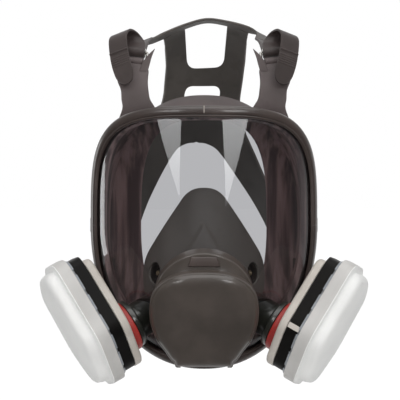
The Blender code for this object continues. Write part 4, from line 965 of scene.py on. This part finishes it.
CARTRIDGE_OFFSET = -0.0190
CARTRIDGE_HALF_LENGTH, CARTRIDGE_HALF_WIDTH, CARTRIDGE_CORNER = 0.0500, 0.0380, 0.0090
CARTRIDGE_SHAPE = (
    (-1.00, 0.79),
    (0.32, 1.00),
    (1.00, 0.32),
    (1.00, -0.53),
    (0.36, -1.00),
    (-0.80, -0.90),
    (-1.04, -0.26),
)
CARTRIDGE_CORNERS = [
    (CARTRIDGE_HALF_LENGTH * a, CARTRIDGE_HALF_WIDTH * b, CARTRIDGE_CORNER) for a, b in CARTRIDGE_SHAPE]
CARTRIDGE_POINTS, BACK_UPPER = 192, 0.89
CARTRIDGE_WALL, BACK_HEIGHT, BACK_FOOT, CAN_HEIGHT, CAN_STEP = 0.0018, 0.0070, 0.0060, 0.0165, 0.0008
BAND_TOP, TEETH_BASE, FLANGE_BASE, FLANGE_TOP = 0.0064, 0.0068, 0.0045, 0.0062
CAN_BASE = CARTRIDGE_BASE + BACK_HEIGHT + GAP
CAN_TOP = CAN_BASE + CAN_HEIGHT
CREAM_PLASTIC = moulded("cream_plastic", rgb(182, 175, 166), rgb(208, 201, 193), 0.45, grain=1200.0)
CAN_PLASTIC = moulded("can_plastic", rgb(122, 124, 127), rgb(148, 150, 153), 0.40)
BAND_FILM = moulded(
    "band_film", rgb(8, 7, 7), rgb(22, 20, 18), 0.45, grain=900.0, relief=0.00002, specular=0.15)


def rounded(corners, steps):
    """A closed outline through corners of (x, y, radius), each rounded over its radius."""
    points = []
    for i, (x, y, radius) in enumerate(corners):
        corner = Vector((x, y))
        before = Vector(corners[i - 1][:2])
        after = Vector(corners[(i + 1) % len(corners)][:2])
        start = corner + (before - corner).normalized() * radius
        end = corner + (after - corner).normalized() * radius
        for j in range(steps + 1):
            share = j / steps
            points.append(start.lerp(corner, share).lerp(corner.lerp(end, share), share))
    return points


CARTRIDGE_OUTLINE = resampled(rounded(CARTRIDGE_CORNERS, 14), CARTRIDGE_POINTS, closed=True)
CARTRIDGE_MIDDLE = Vector((CARTRIDGE_OFFSET, 0.0))
CARTRIDGE_AREA = sum(a.cross(b) for a, b in zip(CARTRIDGE_OUTLINE, CARTRIDGE_OUTLINE[1:]))
CARTRIDGE_SPIN = math.copysign(1.0, CARTRIDGE_AREA)


def cartridge_point(index, height, grow=0.0, scale=1.0, hole=None, upper=1.0):
    """A point of the cartridge outline at a height, grown or scaled, or on a hole round its axis.

    upper shortens the half of the outline that is away from the port.
    """
    point = CARTRIDGE_OUTLINE[index % CARTRIDGE_POINTS]
    after = CARTRIDGE_OUTLINE[(index + 1) % CARTRIDGE_POINTS]
    along = (after - CARTRIDGE_OUTLINE[(index - 1) % CARTRIDGE_POINTS]).normalized()
    outward = Vector((along.y, -along.x)) * CARTRIDGE_SPIN
    reach = Vector((point.x * (upper if point.x < 0.0 else 1.0), point.y))
    spot = CARTRIDGE_MIDDLE + reach * scale + outward * grow
    if hole:
        spot = spot.normalized() * hole
    return PORT_PLACE(spot.x, spot.y, height)


def cartridge_ring(side, height, grow=0.0, scale=1.0, hole=None, upper=1.0):
    points = [cartridge_point(i, height, grow, scale, hole, upper) for i in range(CARTRIDGE_POINTS)]
    return mirrored(points, side)


def wrap(label, material, start, stop, side):
    """A thin film round the can between two points of the outline."""
    thick = 0.0002
    low = CAN_BASE + thick
    high = CAN_TOP - BAND_TOP
    film = ((low, 0.0), (low, thick), (high, thick), (high, 0.0))
    rings = []
    for i in range(start, stop + 1):
        rings.append(mirrored([cartridge_point(i, height, grow - CAN_STEP) for height, grow in film], side))
    settle(loft(label, rings, material), "cartridge_" + ("right" if side > 0.0 else "left"), "can_plastic")


def cartridge(name, side):
    floor_level = CARTRIDGE_BASE + CARTRIDGE_FLOOR
    top = CARTRIDGE_BASE + BACK_HEIGHT
    hole = PORT_TUBE + 0.0005
    shape = [
        (CARTRIDGE_BASE, -BACK_FOOT),
        (CARTRIDGE_BASE, -0.0032),
        (CARTRIDGE_BASE + 0.0003, -0.0018),
        (CARTRIDGE_BASE + 0.0009, -0.0008),
        (CARTRIDGE_BASE + 0.0017, -0.0002),
        (CARTRIDGE_BASE + 0.0026, 0.0),
        (top - 0.0005, 0.0),
        (top, -0.0005),
    ]
    rings = [cartridge_ring(side, CARTRIDGE_BASE, hole=hole)]
    rings += [cartridge_ring(side, height, grow, upper=BACK_UPPER) for height, grow in shape]
    rings += [
        cartridge_ring(side, top, -CARTRIDGE_WALL, upper=BACK_UPPER),
        cartridge_ring(side, CARTRIDGE_BASE + 0.0034, -CARTRIDGE_WALL, upper=BACK_UPPER),
        cartridge_ring(side, floor_level, -BACK_FOOT - CARTRIDGE_WALL, upper=BACK_UPPER),
        cartridge_ring(side, floor_level, hole=hole),
    ]
    body = loft("cartridge_shell_" + name, rings, CREAM_PLASTIC, joined=True)
    for i in range(3):
        first = math.radians(4.0 - 6.0) + 2.0 * math.pi * (i + 0.5) / 3
        cutter = []
        for j in range(9):
            turn = first + math.radians(52.0) * j / 8
            low = CARTRIDGE_BASE - 0.002
            corners = ((0.0100, low), (0.0153, low), (0.0153, LUG_BASE), (0.0100, LUG_BASE))
            cutter.append(round_port(turn, corners, side))
        carve(body, loft("notch", cutter, None))
    body.data.set_sharp_from_angle(angle=math.radians(35.0))
    settle(body, "cartridge_" + name, "cream_plastic", "cartridge_back_" + name)
    floor_level = CAN_BASE + CARTRIDGE_FLOOR
    inner = -CAN_STEP - CARTRIDGE_WALL
    rings = [
        cartridge_ring(side, CAN_BASE, hole=0.0170),
        cartridge_ring(side, CAN_BASE, -CAN_STEP - 0.0004),
        cartridge_ring(side, CAN_BASE + 0.0004, -CAN_STEP),
        cartridge_ring(side, CAN_TOP - 0.0002, -CAN_STEP),
        cartridge_ring(side, CAN_TOP, -CAN_STEP - 0.0002),
        cartridge_ring(side, CAN_TOP, inner),
        cartridge_ring(side, floor_level, inner),
        cartridge_ring(side, floor_level, hole=0.0170),
    ]
    can = loft("cartridge_can_wall_" + name, rings, CAN_PLASTIC, joined=True)
    settle(can, "cartridge_" + name, "can_plastic", "cartridge_can_" + name)
    tie_first, tie_last = 44, 47
    start, stop = (tie_last, tie_first + CARTRIDGE_POINTS) if side > 0.0 else (0, CARTRIDGE_POINTS)
    wrap("cartridge_band_" + name, BAND_FILM, start, stop, side)
    if side > 0.0:
        wrap("cartridge_tie_" + name, CREAM_PLASTIC, tie_first, tie_last, side)


CARBON = moulded_rubber("carbon_granules", rgb(18, 18, 18), rgb(52, 52, 52), 0.8)
for name, side in SIDES:
    cartridge(name, side)
    dress(CREAM_PLASTIC, "cartridge_grille_" + name)
    dress(CARBON, "sorbent_bed_" + name)


# Pre-filter retainers. White push-on caps that hold a felt disc over the can: a row of clear teeth grips
# the band, a pale flange stands round them, and the face is a smooth, slightly pillowed dome.

RETAINER_LIP, RETAINER_DOME = 0.0034, 0.0180
FLANGE_PLASTIC = moulded("flange_plastic", rgb(188, 186, 183), rgb(210, 208, 205), 0.38)
DOME_PLASTIC = moulded(
    "dome_plastic", rgb(238, 238, 236), rgb(250, 250, 248), 0.42, grain=300.0, relief=0.00008)
FELT = moulded_rubber("filter_felt", rgb(226, 222, 212), rgb(244, 240, 232), 0.95)


def clear_teeth():
    """Unpainted clear plastic; the cool grey it shows from what is behind it is painted into its colour, as
    painted shade and reflection.
    """
    material, shade, shader, output = new_material("clear_teeth")
    place = shade.out("TexCoord", output=3)
    cloud = shade.out("TexNoise", Vector=place, Scale=160.0, Detail=3.0)
    link(cloud.blend(rgb(158, 163, 169), rgb(188, 192, 196)), shader.inputs["Base Color"])
    link(0.18 + cloud * 0.12, shader.inputs["Roughness"])
    link(0.62 + cloud * 0.16, shader.inputs["Alpha"])
    return material


TEETH_PLASTIC = clear_teeth()
TOOTH_PITCH = 12


def retainer(name, side):
    rim = CAN_TOP + FLANGE_TOP
    foot = CAN_TOP - FLANGE_BASE
    inner = GAP - CAN_STEP
    shape = [
        (foot, inner),
        (foot, RETAINER_LIP - 0.0004),
        (foot + 0.0004, RETAINER_LIP),
        (rim - 0.0008, RETAINER_LIP),
        (rim - 0.0002, RETAINER_LIP - 0.0002),
        (rim, RETAINER_LIP - 0.0008),
        (rim + 0.0002, 0.0012),
        (rim + 0.0007, -0.0002),
    ]
    dome = [(0.972, 0.45), (0.966, 0.57), (0.958, 0.68), (0.946, 0.765), (0.926, 0.835), (0.893, 0.888),
            (0.840, 0.926), (0.76, 0.952), (0.60, 0.975), (0.40, 0.99), (0.20, 0.998), (0.05, 1.0)]
    inside = [(0.02, 0.88), (0.60, 0.84), (0.84, 0.72), (0.93, 0.52)]
    rings = [cartridge_ring(side, CAN_TOP + RETAINER_DOME * rise, scale=scale) for scale, rise in inside]
    rings += [cartridge_ring(side, rim - 0.0002, -0.0022), cartridge_ring(side, rim - 0.0002, inner)]
    flange_first = len(rings)
    rings += [cartridge_ring(side, height, grow) for height, grow in shape]
    # From here the rings round the flange's top edge take the white dome plastic: a painted highlight along
    # that edge.
    painted_highlight_start = len(rings) - 5
    rings += [cartridge_ring(side, CAN_TOP + RETAINER_DOME * rise, scale=scale) for scale, rise in dome]
    bands = [1 if flange_first <= i < painted_highlight_start else 0 for i in range(len(rings))]
    body = loft("retainer_cap_" + name, rings, DOME_PLASTIC, bands=bands)
    body.data.materials.append(FLANGE_PLASTIC)
    settle(body, "retainer_" + name, "white_plastic", "retainer_" + name)
    low = CAN_TOP - TEETH_BASE
    high = foot + 0.0003
    wall = ((low, inner + 0.0002), (low, inner + 0.0010), (high, 0.0022), (high, inner + 0.0002))

    def teeth(work):
        for first in range(0, CARTRIDGE_POINTS, TOOTH_PITCH):
            grid = []
            for i in range(first, first + TOOTH_PITCH - 2):
                points = mirrored([cartridge_point(i, height, grow) for height, grow in wall], side)
                grid.append([work.verts.new(point) for point in points])
            for here, there in zip(grid, grid[1:]):
                for j in range(4):
                    work.faces.new((here[j - 1], here[j], there[j], there[j - 1]))
            work.faces.new(grid[0])
            work.faces.new(grid[-1])

    settle(piece("retainer_teeth_" + name, teeth, TEETH_PLASTIC), "retainer_" + name, "white_plastic")
    dress(FELT, "prefilter_" + name)


for name, side in SIDES:
    retainer(name, side)

# Nose cup. A soft rubber cup inside the mask, stretched over the tube of the centre fitting and spread to
# a rim over nose, cheeks and chin. A valve seat in each cheek lets the air in.

CUP_THICK, CUP_POINTS = 0.0018, 200
CUP_RIM_TOP, CUP_RIM_CHIN, CUP_RIM_HALF_WIDTH = 0.0310, -0.0880, 0.0515
CUP_RIM_Y, CUP_RIM_WRAP, CUP_MIDDLE_Z = -0.0450, 0.0200, -0.0380
CUP_SEAT_RADIUS = 0.0088
NOSE_TOP, NOSE_SLOPE, NOSE_HEIGHT = 0.0040, 0.60, 0.0030
ADAPTER_BORE = ADAPTER_TUBE + GAP
CUP_COLLAR_FRONT = -0.0152 - 0.0005
CUP_CORNERS = (
    (0.0120, CUP_RIM_TOP, 0.0110),
    (0.0345, -0.0020, 0.0160),
    (CUP_RIM_HALF_WIDTH, -0.0300, 0.0120),
    (CUP_RIM_HALF_WIDTH, -0.0640, 0.0180),
    (0.0280, CUP_RIM_CHIN, 0.0170),
)
CUP_LEFT = tuple((-x, z, radius) for x, z, radius in reversed(CUP_CORNERS))
CUP_OUTLINE = resampled(rounded(CUP_CORNERS + CUP_LEFT, 14), CUP_POINTS, closed=True)
# The cup is given a mid grey far paler than its own dark rubber: painted light for the dim inside of the
# mask.
CUP_RUBBER_PAINTED_LIGHT = moulded_rubber("cup_rubber_painted_light", rgb(132, 126, 120), rgb(156, 150, 143), 0.50)


def cup_ring(share, inset=0.0):
    """One ring of the cup: at 0 it leaves the collar, at 1 it is the rim."""
    points = []
    for spot in CUP_OUTLINE:
        turn = math.atan2(spot.y - CUP_MIDDLE_Z, spot.x)
        wrap = CUP_RIM_WRAP * (spot.x / CUP_RIM_HALF_WIDTH) ** 2
        rim = Vector((spot.x, CUP_RIM_Y + wrap, spot.y))
        reach = ADAPTER_BORE + CUP_THICK
        collar = ADAPTER_PLACE(reach * math.cos(turn), reach * math.sin(turn), -ADAPTER_DEPTH + 0.0005)
        inward = Vector((-math.cos(turn), 0.75, -math.sin(turn))).normalized()
        swell = math.sin(math.pi * share) * 0.0030
        point = collar.lerp(rim, share) + inward * (inset - swell)
        ridge = NOSE_SLOPE * (NOSE_TOP - point.z) - abs(point.x)
        raised = max(0.0, min(1.0, ridge / 0.0025)) if point.y < -0.05 else 0.0
        points.append(point - Vector((0.0, NOSE_HEIGHT * raised, 0.0)))
    return points


def cup_collar(radius, height):
    turns = [math.atan2(spot.y - CUP_MIDDLE_Z, spot.x) for spot in CUP_OUTLINE]
    return [ADAPTER_PLACE(radius * math.cos(turn), radius * math.sin(turn), height) for turn in turns]


def seat_frame():
    """Where a valve seat sits on the right of the cup: its point, and the directions across and out."""
    point = Vector((0.037942, -0.041984, -0.040362))
    axis = Vector((0.845256, -0.528916, 0.076093)).normalized()
    across = (Vector((0.0, 0.0, 1.0)).cross(axis)).normalized()
    return point, across, axis


def nose_cup():
    reach = ADAPTER_BORE + CUP_THICK
    shares = [i / 30 for i in range(31)]
    outer = [cup_collar(reach, CUP_COLLAR_FRONT)] + [cup_ring(share) for share in shares]
    inner = [cup_ring(share, CUP_THICK) for share in shares[:0:-1]]
    collar = [cup_collar(ADAPTER_BORE, 0.0005 - ADAPTER_DEPTH), cup_collar(ADAPTER_BORE, CUP_COLLAR_FRONT)]
    body = loft("nose_cup_skin", outer + inner + collar, CUP_RUBBER_PAINTED_LIGHT, joined=True, smooth=60.0)
    point, across, axis = seat_frame()
    place = placer(point, across, axis.cross(across), axis)
    for name, side in SIDES:
        hole = [(CUP_SEAT_RADIUS + GAP, -0.016), (CUP_SEAT_RADIUS + GAP, 0.016)]
        carve(body, turned("cup_hole", place, hole, None, side, hollow=False, count=48))
        dress(FRAME_PLASTIC, "nose_cup_seat_" + name)
        dress(VALVE_RUBBER, "nose_cup_valve_" + name)
    body.data.set_sharp_from_angle(angle=math.radians(60.0))
    settle(body, "mask", "grey_rubber", "nose_cup")


nose_cup()

# Buckles and straps. Each strap end of the rubber harness goes round a steel roller in a wire buckle on the
# seal's tab, and its ribbed pull end hangs free. The wire runs through the rolled hem of the tab.

ROLLER_RADIUS, ROLLER_LENGTH = 0.0031, 0.0190
STRAP_THICK, STRAP_HALF_WIDTH = 0.0018, 0.0088
SEAM_GAP = 0.0006
CROWN_END = (Vector((0.0450, 0.0210, 0.1630)), Vector((0.0610, 0.0250, 0.1580)))
NAPE_END = (Vector((0.0765, 0.0945, -0.0145)), Vector((0.0735, 0.0935, -0.0380)))
UPPER_APPROACH = (
    (Vector((0.0555, 0.0080, 0.1550)), Vector((0.0080, 0.0010, -0.0036))),
    (Vector((0.0575, -0.0080, 0.1490)), Vector((0.0086, 0.0, -0.0018))),
)
TAIL_HALF = Vector((0.0078, 0.0030, -0.0026))
UPPER_TAIL = (
    (Vector((0.0590, -0.0215, 0.1550)), Vector((0.0088, 0.0, 0.0))),
    (Vector((0.0640, -0.0200, 0.1608)), Vector((0.0082, 0.0020, -0.0018))),
    (Vector((0.0692, -0.0268, 0.1622)), TAIL_HALF),
    (Vector((0.0722, -0.0345, 0.1580)), TAIL_HALF),
    (Vector((0.0717, -0.0400, 0.1480)), TAIL_HALF),
    (Vector((0.0695, -0.0440, 0.1360)), TAIL_HALF),
    (Vector((0.0668, -0.0466, 0.1270)), TAIL_HALF * 0.98),
    (Vector((0.0652, -0.0478, 0.1220)), TAIL_HALF * 0.84),
    (Vector((0.0641, -0.0485, 0.1188)), TAIL_HALF * 0.55),
    (Vector((0.0636, -0.0488, 0.1174)), TAIL_HALF * 0.22),
)
LOWER_APPROACH = (
    (Vector((0.0785, 0.0740, -0.0340)), Vector((-0.0006, 0.0, -0.0095))),
    (Vector((0.0800, 0.0520, -0.0450)), Vector((0.0, 0.0, -0.0088))),
)
LOWER_TAIL = (
    (Vector((0.0890, 0.0460, -0.0530)), Vector((0.0, 0.0, -0.0088))),
    (Vector((0.0905, 0.0590, -0.0550)), Vector((0.0, 0.0, -0.0086))),
    (Vector((0.0905, 0.0730, -0.0570)), Vector((0.0, 0.0, -0.0082))),
)


STRAP_RUBBER = moulded_rubber("strap_rubber", rgb(55, 47, 45), rgb(79, 69, 67), 0.48)
GRIP = ((0.79, 0.007, 0.0008),) + tuple((0.82 + 0.0135 * i, 0.006, 0.0003) for i in range(5))


def wire_ring(name, buckle, side):
    """The closed wire frame of a buckle, round its hem bar and its roller bar."""
    corners = ((-BUCKLE_HALF_WIDTH, 0.0, 0.0026), (-BUCKLE_HALF_WIDTH, BUCKLE_REACH, 0.0026),
               (BUCKLE_HALF_WIDTH, BUCKLE_REACH, 0.0026), (BUCKLE_HALF_WIDTH, 0.0, 0.0026))
    path = [buckle.hem + buckle.width * spot.x + buckle.pull * spot.y for spot in rounded(corners, 6)]
    rings = []
    for i, point in enumerate(path):
        along = (path[(i + 1) % len(path)] - path[i - 1]).normalized()
        place = placer(point, along.cross(buckle.out), buckle.out, along)
        rings.append(mirrored(circle(place, BUCKLE_WIRE, 0.0, 16), side))
    return loft(name, rings, STEEL, joined=True)


def strap_rows(buckle, end, approach, tail):
    """Rows from the cradle's end to the roller, round it and out to the pull end."""
    middle = (end[0] + end[1]) / 2.0
    seam = middle + (approach[0][0] - middle).normalized() * SEAM_GAP
    start = [(seam, (end[1] - end[0]) / 2.0)]
    radius = ROLLER_RADIUS + 0.0005 + STRAP_THICK / 2.0
    half = buckle.width * STRAP_HALF_WIDTH
    wrap = []
    for degrees in range(-90, -271, -30):
        turn = math.radians(degrees)
        around = buckle.pull * math.cos(turn) + buckle.out * math.sin(turn)
        wrap.append((buckle.bar + around * radius, half))
    return start + list(approach) + wrap + list(tail)


def buckles():
    for name, side in SIDES:
        upper = (UPPER, CROWN_END, UPPER_APPROACH, UPPER_TAIL)
        lower = (LOWER, NAPE_END, LOWER_APPROACH, LOWER_TAIL)
        for buckle, *route in (upper, lower):
            label = f"{buckle.level}_{name}"
            wire = wire_ring("buckle_wire_" + label, buckle, side)
            settle(wire, "buckle_" + label, "steel", "buckle_frame_" + label)
            place = placer(buckle.bar, buckle.pull, buckle.out, buckle.width)
            half = ROLLER_LENGTH / 2.0
            bore = BUCKLE_WIRE + 0.0005
            profile = [(bore, -half), (ROLLER_RADIUS - 0.0004, -half), (ROLLER_RADIUS, 0.0004 - half),
                       (ROLLER_RADIUS, half - 0.0004), (ROLLER_RADIUS - 0.0004, half), (bore, half)]
            roller = turned("buckle_tube_" + label, place, profile, STEEL, side, count=32)
            settle(roller, "roller_" + label, "steel", "buckle_roller_" + label)
            rows = strap_rows(buckle, *route)
            ridges = GRIP if buckle is UPPER else ()
            strap = strip("strap_band_" + label, rows, STRAP_THICK, STRAP_RUBBER, side, 280, ridges=ridges)
            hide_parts("strap_" + label)
            start = route[0][0].lerp(route[0][1], 0.5)
            ends = mirrored([start, buckle.bar], side)
            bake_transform(strap)


buckles()

# Head harness. One flat moulding of dark rubber: a crown band from temple to temple, a back panel with two
# windows, and two lower legs that spread to the nape straps.

HEAD_CENTRE = Vector((0.0, 0.085, 0.045))
HEAD_RADII = Vector((0.078, 0.098, 0.138))
HARNESS_THICK = 0.0022
HARNESS_RUBBER = moulded_rubber("harness_rubber", rgb(72, 67, 63), rgb(104, 98, 93), 0.55)


def on_head(x, z):
    """A point on the back of the head."""
    share_x = (x / HEAD_RADII.x) ** 2
    share_z = ((z - HEAD_CENTRE.z) / HEAD_RADII.z) ** 2
    depth = math.sqrt(max(1.0 - share_x - share_z, 0.0))
    return Vector((x, HEAD_CENTRE.y + HEAD_RADII.y * depth, z))


LEAN = (
    (-0.040, 0.0),
    (0.0, -0.0010),
    (0.045, -0.0050),
    (0.085, -0.0075),
    (0.125, -0.0010),
    (0.150, 0.0020),
    (0.200, 0.0026),
)


def lean(point):
    """The soft cradle hangs a little askew: its crown leans right and rises there, its arch leans left."""
    shift = 0.0
    for (low, first), (high, last) in zip(LEAN, LEAN[1:]):
        if low <= point.z <= high:
            shift = first + (last - first) * (point.z - low) / (high - low)
    free = max(0.0, min(1.0, (point.y - 0.024) / 0.03))
    rise = 0.07 * point.x * max(0.0, min(1.0, (point.z - 0.13) / 0.03))
    return Vector((point.x + shift * free, point.y, point.z + rise * free))


def crown_rows():
    front = [Vector((0.0, 0.062, 0.1850)), Vector((0.019, 0.060, 0.1812)), Vector((0.037, 0.054, 0.1745)),
             Vector((0.045, 0.040, 0.168)), CROWN_END[0]]
    back = [Vector((0.0, 0.090, 0.1855)), Vector((0.019, 0.089, 0.1815)), Vector((0.038, 0.084, 0.1735)),
            Vector((0.052, 0.060, 0.166)), CROWN_END[1]]
    right = [((a + b) / 2.0, (b - a) / 2.0) for a, b in zip(front, back)]
    left = [(Vector((-m.x, m.y, m.z)), Vector((-h.x, h.y, h.z))) for m, h in right[:0:-1]]
    return [(lean(m), lean(m + h) - lean(m)) for m, h in left + right]


WINDOWS = (
    (0.060, (0.0205, 0.195, 0.004), (0.0175, 0.1485, 0.0085)),
    (0.0935, (0.0172, 0.1320, 0.008), (0.0172, 0.1145, 0.008)),
)


def head_harness():
    crown = strip("harness_crown", crown_rows(), HARNESS_THICK, HARNESS_RUBBER, count=120)
    settle(crown, "mask", "dark_rubber", "head_harness")
    outer = spline([Vector((0.0395, 0.080, 0.1725)), Vector((0.0385, 0.096, 0.1695)),
                    on_head(0.0375, 0.156), on_head(0.0372, 0.138), on_head(0.038, 0.113),
                    on_head(0.048, 0.086), on_head(0.059, 0.056), on_head(0.069, 0.024), NAPE_END[0]], 96)
    middle = smooth([Vector((0.0, 0.080, 0.1850)), Vector((0.0, 0.100, 0.1825)), on_head(0.0, 0.160),
                     on_head(0.0, 0.138), on_head(0.0, 0.108), on_head(0.0, 0.0775)])
    arch = smooth([on_head(-0.012, 0.0758), on_head(0.0, 0.0775), on_head(0.012, 0.0758),
                   on_head(0.024, 0.066), on_head(0.047, 0.028), on_head(0.060, 0.0), NAPE_END[1]])
    inner = resampled(middle + [point for point in arch if point.x > 0.0005], 96, closed=False)
    across = 16

    def faces_of(work):
        rows = []
        for a, b in zip(inner, outer):
            half = []
            for j in range(across + 1):
                flat = a.lerp(b, j / across)
                top = max(0.0, min(1.0, (flat.z - 0.165) / 0.012))
                flat.z += 0.0100 * (j / across) * (1.0 - j / across) * top
                back = on_head(flat.x, flat.z)
                share = max(0.0, min(1.0, (0.178 - flat.z) / 0.02))
                share *= max(0.0, min(1.0, (flat.z + 0.01) / 0.03))
                share *= max(0.0, min(1.0, (back.y - HEAD_CENTRE.y) / 0.04))
                half.append(flat.lerp(back, share))
            rows.append(half)
        known = {}

        def corner(point, side):
            key = (round(point.x * side, 6), round(point.y, 6), round(point.z, 6))
            if key not in known:
                known[key] = work.verts.new(lean(Vector((point.x * side, point.y, point.z))))
            return known[key]

        for upper_row, lower_row in zip(rows, rows[1:]):
            for j in range(across):
                cell = (upper_row[j], upper_row[j + 1], lower_row[j + 1], lower_row[j])
                for side in (1.0, -1.0):
                    corners = [corner(point, side) for point in cell]
                    if len(set(corners)) == 4:
                        work.faces.new(corners if side > 0.0 else corners[::-1])
    panel = piece("harness_back", faces_of, HARNESS_RUBBER)
    thick = panel.modifiers.new("thick", "SOLIDIFY")
    thick.thickness = HARNESS_THICK
    thick.offset = 0.0
    bpy.context.view_layer.update()
    done = bpy.data.meshes.new_from_object(panel.evaluated_get(bpy.context.evaluated_depsgraph_get()))
    panel.modifiers.clear()
    panel.data = done
    for start, top, bottom in WINDOWS:
        corners = (top, (-top[0], *top[1:]), (-bottom[0], *bottom[1:]), bottom)
        outline = rounded(corners, 8)
        rings = [[lean(Vector((spot.x, depth, spot.y))) for spot in outline] for depth in (start, 0.25)]
        carve(panel, loft("window", rings, None))
    panel.data.shade_smooth()
    panel.data.set_sharp_from_angle(angle=math.radians(40.0))
    settle(panel, "mask", "dark_rubber")


head_harness()

# Studio. A white floor and a white sweep behind, two slanted softboxes in front of the mask, left and right,
# that draw the pale wedges on the lens, a broad one overhead, and a camera level with the eyes.

FLOOR_Z = -0.175
LENS_MIDDLE = Vector((0.0, -0.09, 0.05))


def floor():
    size = 30.0
    def faces_of(work):
        corners = ((-size, -size), (size, -size), (size, size), (-size, size))
        work.faces.new([work.verts.new((x, y, FLOOR_Z)) for x, y in corners])
    material, shade, shader, output = new_material("white_floor")
    shader.inputs["Base Color"].default_value = (0.88, 0.88, 0.88, 1.0)
    shader.inputs["Roughness"].default_value = 0.9
    path = shade.node("LightPath")
    seen = Shade(shade.tree, path.outputs["Is Camera Ray"])
    for name in ("Is Glossy Ray", "Is Transmission Ray"):
        seen = shade.maths("MAXIMUM", seen, Shade(shade.tree, path.outputs[name]))
    glow = shade.out("Emission", Color=(1.0, 1.0, 1.0, 1.0), Strength=1.12)
    link(shade.out("MixShader", i0=seen * 0.88, i1=shade, i2=glow), output.inputs["Surface"])
    body = piece("studio_floor", faces_of, material)
    body.visible_glossy = False


def world():
    """White for the camera, darker on the camera's side for gloss, and a plain level for the rest."""
    sky = bpy.data.worlds.new("studio")
    sky.use_nodes = True
    bpy.context.scene.world = sky
    tree = sky.node_tree
    background = tree.nodes["Background"]
    shade = Shade(tree, background.outputs[0])
    direction = shade.out("TexCoord", output=0)
    parts = shade.node("SeparateXYZ", Vector=direction)
    behind = Shade(tree, parts.outputs["Y"])
    height = Shade(tree, parts.outputs["Z"])
    path = shade.node("LightPath")
    seen = Shade(tree, path.outputs["Is Camera Ray"])
    gloss = shade.maths("MAXIMUM", Shade(tree, path.outputs["Is Glossy Ray"]),
                        Shade(tree, path.outputs["Is Transmission Ray"]))
    room = 0.08 + behind.step(-0.35, 0.75) * 0.75 + height.step(0.1, 0.9) * 0.25
    level = seen + (1.0 - seen) * (gloss * room + (1.0 - gloss) * 0.32)
    background.inputs["Color"].default_value = (1.0, 1.0, 1.0, 1.0)
    link(level, background.inputs["Strength"])


def toward(azimuth, elevation, distance):
    """A point seen from the lens at a bearing from straight ahead and a height above level, in degrees."""
    a = math.radians(azimuth)
    e = math.radians(elevation)
    bearing = Vector((math.sin(a) * math.cos(e), -math.cos(a) * math.cos(e), math.sin(e)))
    return LENS_MIDDLE + bearing * distance


def wedge_box(name, bearings, strength):
    """A three-cornered softbox, hidden from the camera, that fades towards its lower corner."""
    corners = [toward(azimuth, elevation, 1.6) for azimuth, elevation in bearings]
    material, shade, shader, output = new_material(name)
    height = shade.out("SeparateXYZ", output=2, Vector=shade.out("NewGeometry", output=0))
    level = 0.45 + height.step(corners[2].z, corners[1].z) * 0.55
    colour = level.blend((0.0, 0.0, 0.0, 1.0), (1.0, 1.0, 1.0, 1.0))
    glow = shade.out("Emission", Color=colour, Strength=strength)
    link(glow, output.inputs["Surface"])

    def faces_of(work):
        work.faces.new([work.verts.new(corner) for corner in corners])

    body = piece(name, faces_of, material)
    body.visible_camera = False
    body.visible_shadow = False


def softbox(name, azimuth, elevation, distance, width, height, strength):
    """A rectangular lamp that faces the mask."""
    lamp = bpy.data.lights.new(name, "AREA")
    lamp.shape = "RECTANGLE"
    lamp.size = width
    lamp.size_y = height
    lamp.energy = strength * width * height * math.pi
    body = bpy.data.objects.new(name, lamp)
    bpy.context.scene.collection.objects.link(body)
    body.location = toward(azimuth, elevation, distance)
    body.rotation_euler = (LENS_MIDDLE - body.location).to_track_quat("-Z", "Y").to_euler()
    body.visible_camera = False
    return body


def camera():
    lens = bpy.data.cameras.new("photo_camera")
    lens.lens = 130.0
    lens.sensor_width = 36.0
    body = bpy.data.objects.new("photo_camera", lens)
    bpy.context.scene.collection.objects.link(body)
    body.location = (-0.0033, -1.25, 0.02075)
    body.rotation_euler = (math.radians(90.0), 0.0, 0.0)
    bpy.context.scene.camera = body


floor()
world()
wedge_box("softbox_left", ((-41.0, 32.0), (-19.0, 34.0), (-18.5, 7.0)), 6.5)
wedge_box("softbox_right", ((38.0, 32.0), (15.5, 34.0), (16.5, 4.0)), 7.5)
softbox("softbox_above", 8.0, 66.0, 1.5, 1.7, 1.0, 1.9)
softbox("softbox_front", 4.0, 6.0, 2.6, 1.6, 1.2, 1.5).visible_glossy = False
side_strip = softbox("softbox_side", -108.0, -2.0, 1.5, 0.28, 0.75, 5.0)
side_strip.visible_diffuse = False
camera()
bpy.context.scene.view_settings.view_transform = "Standard"
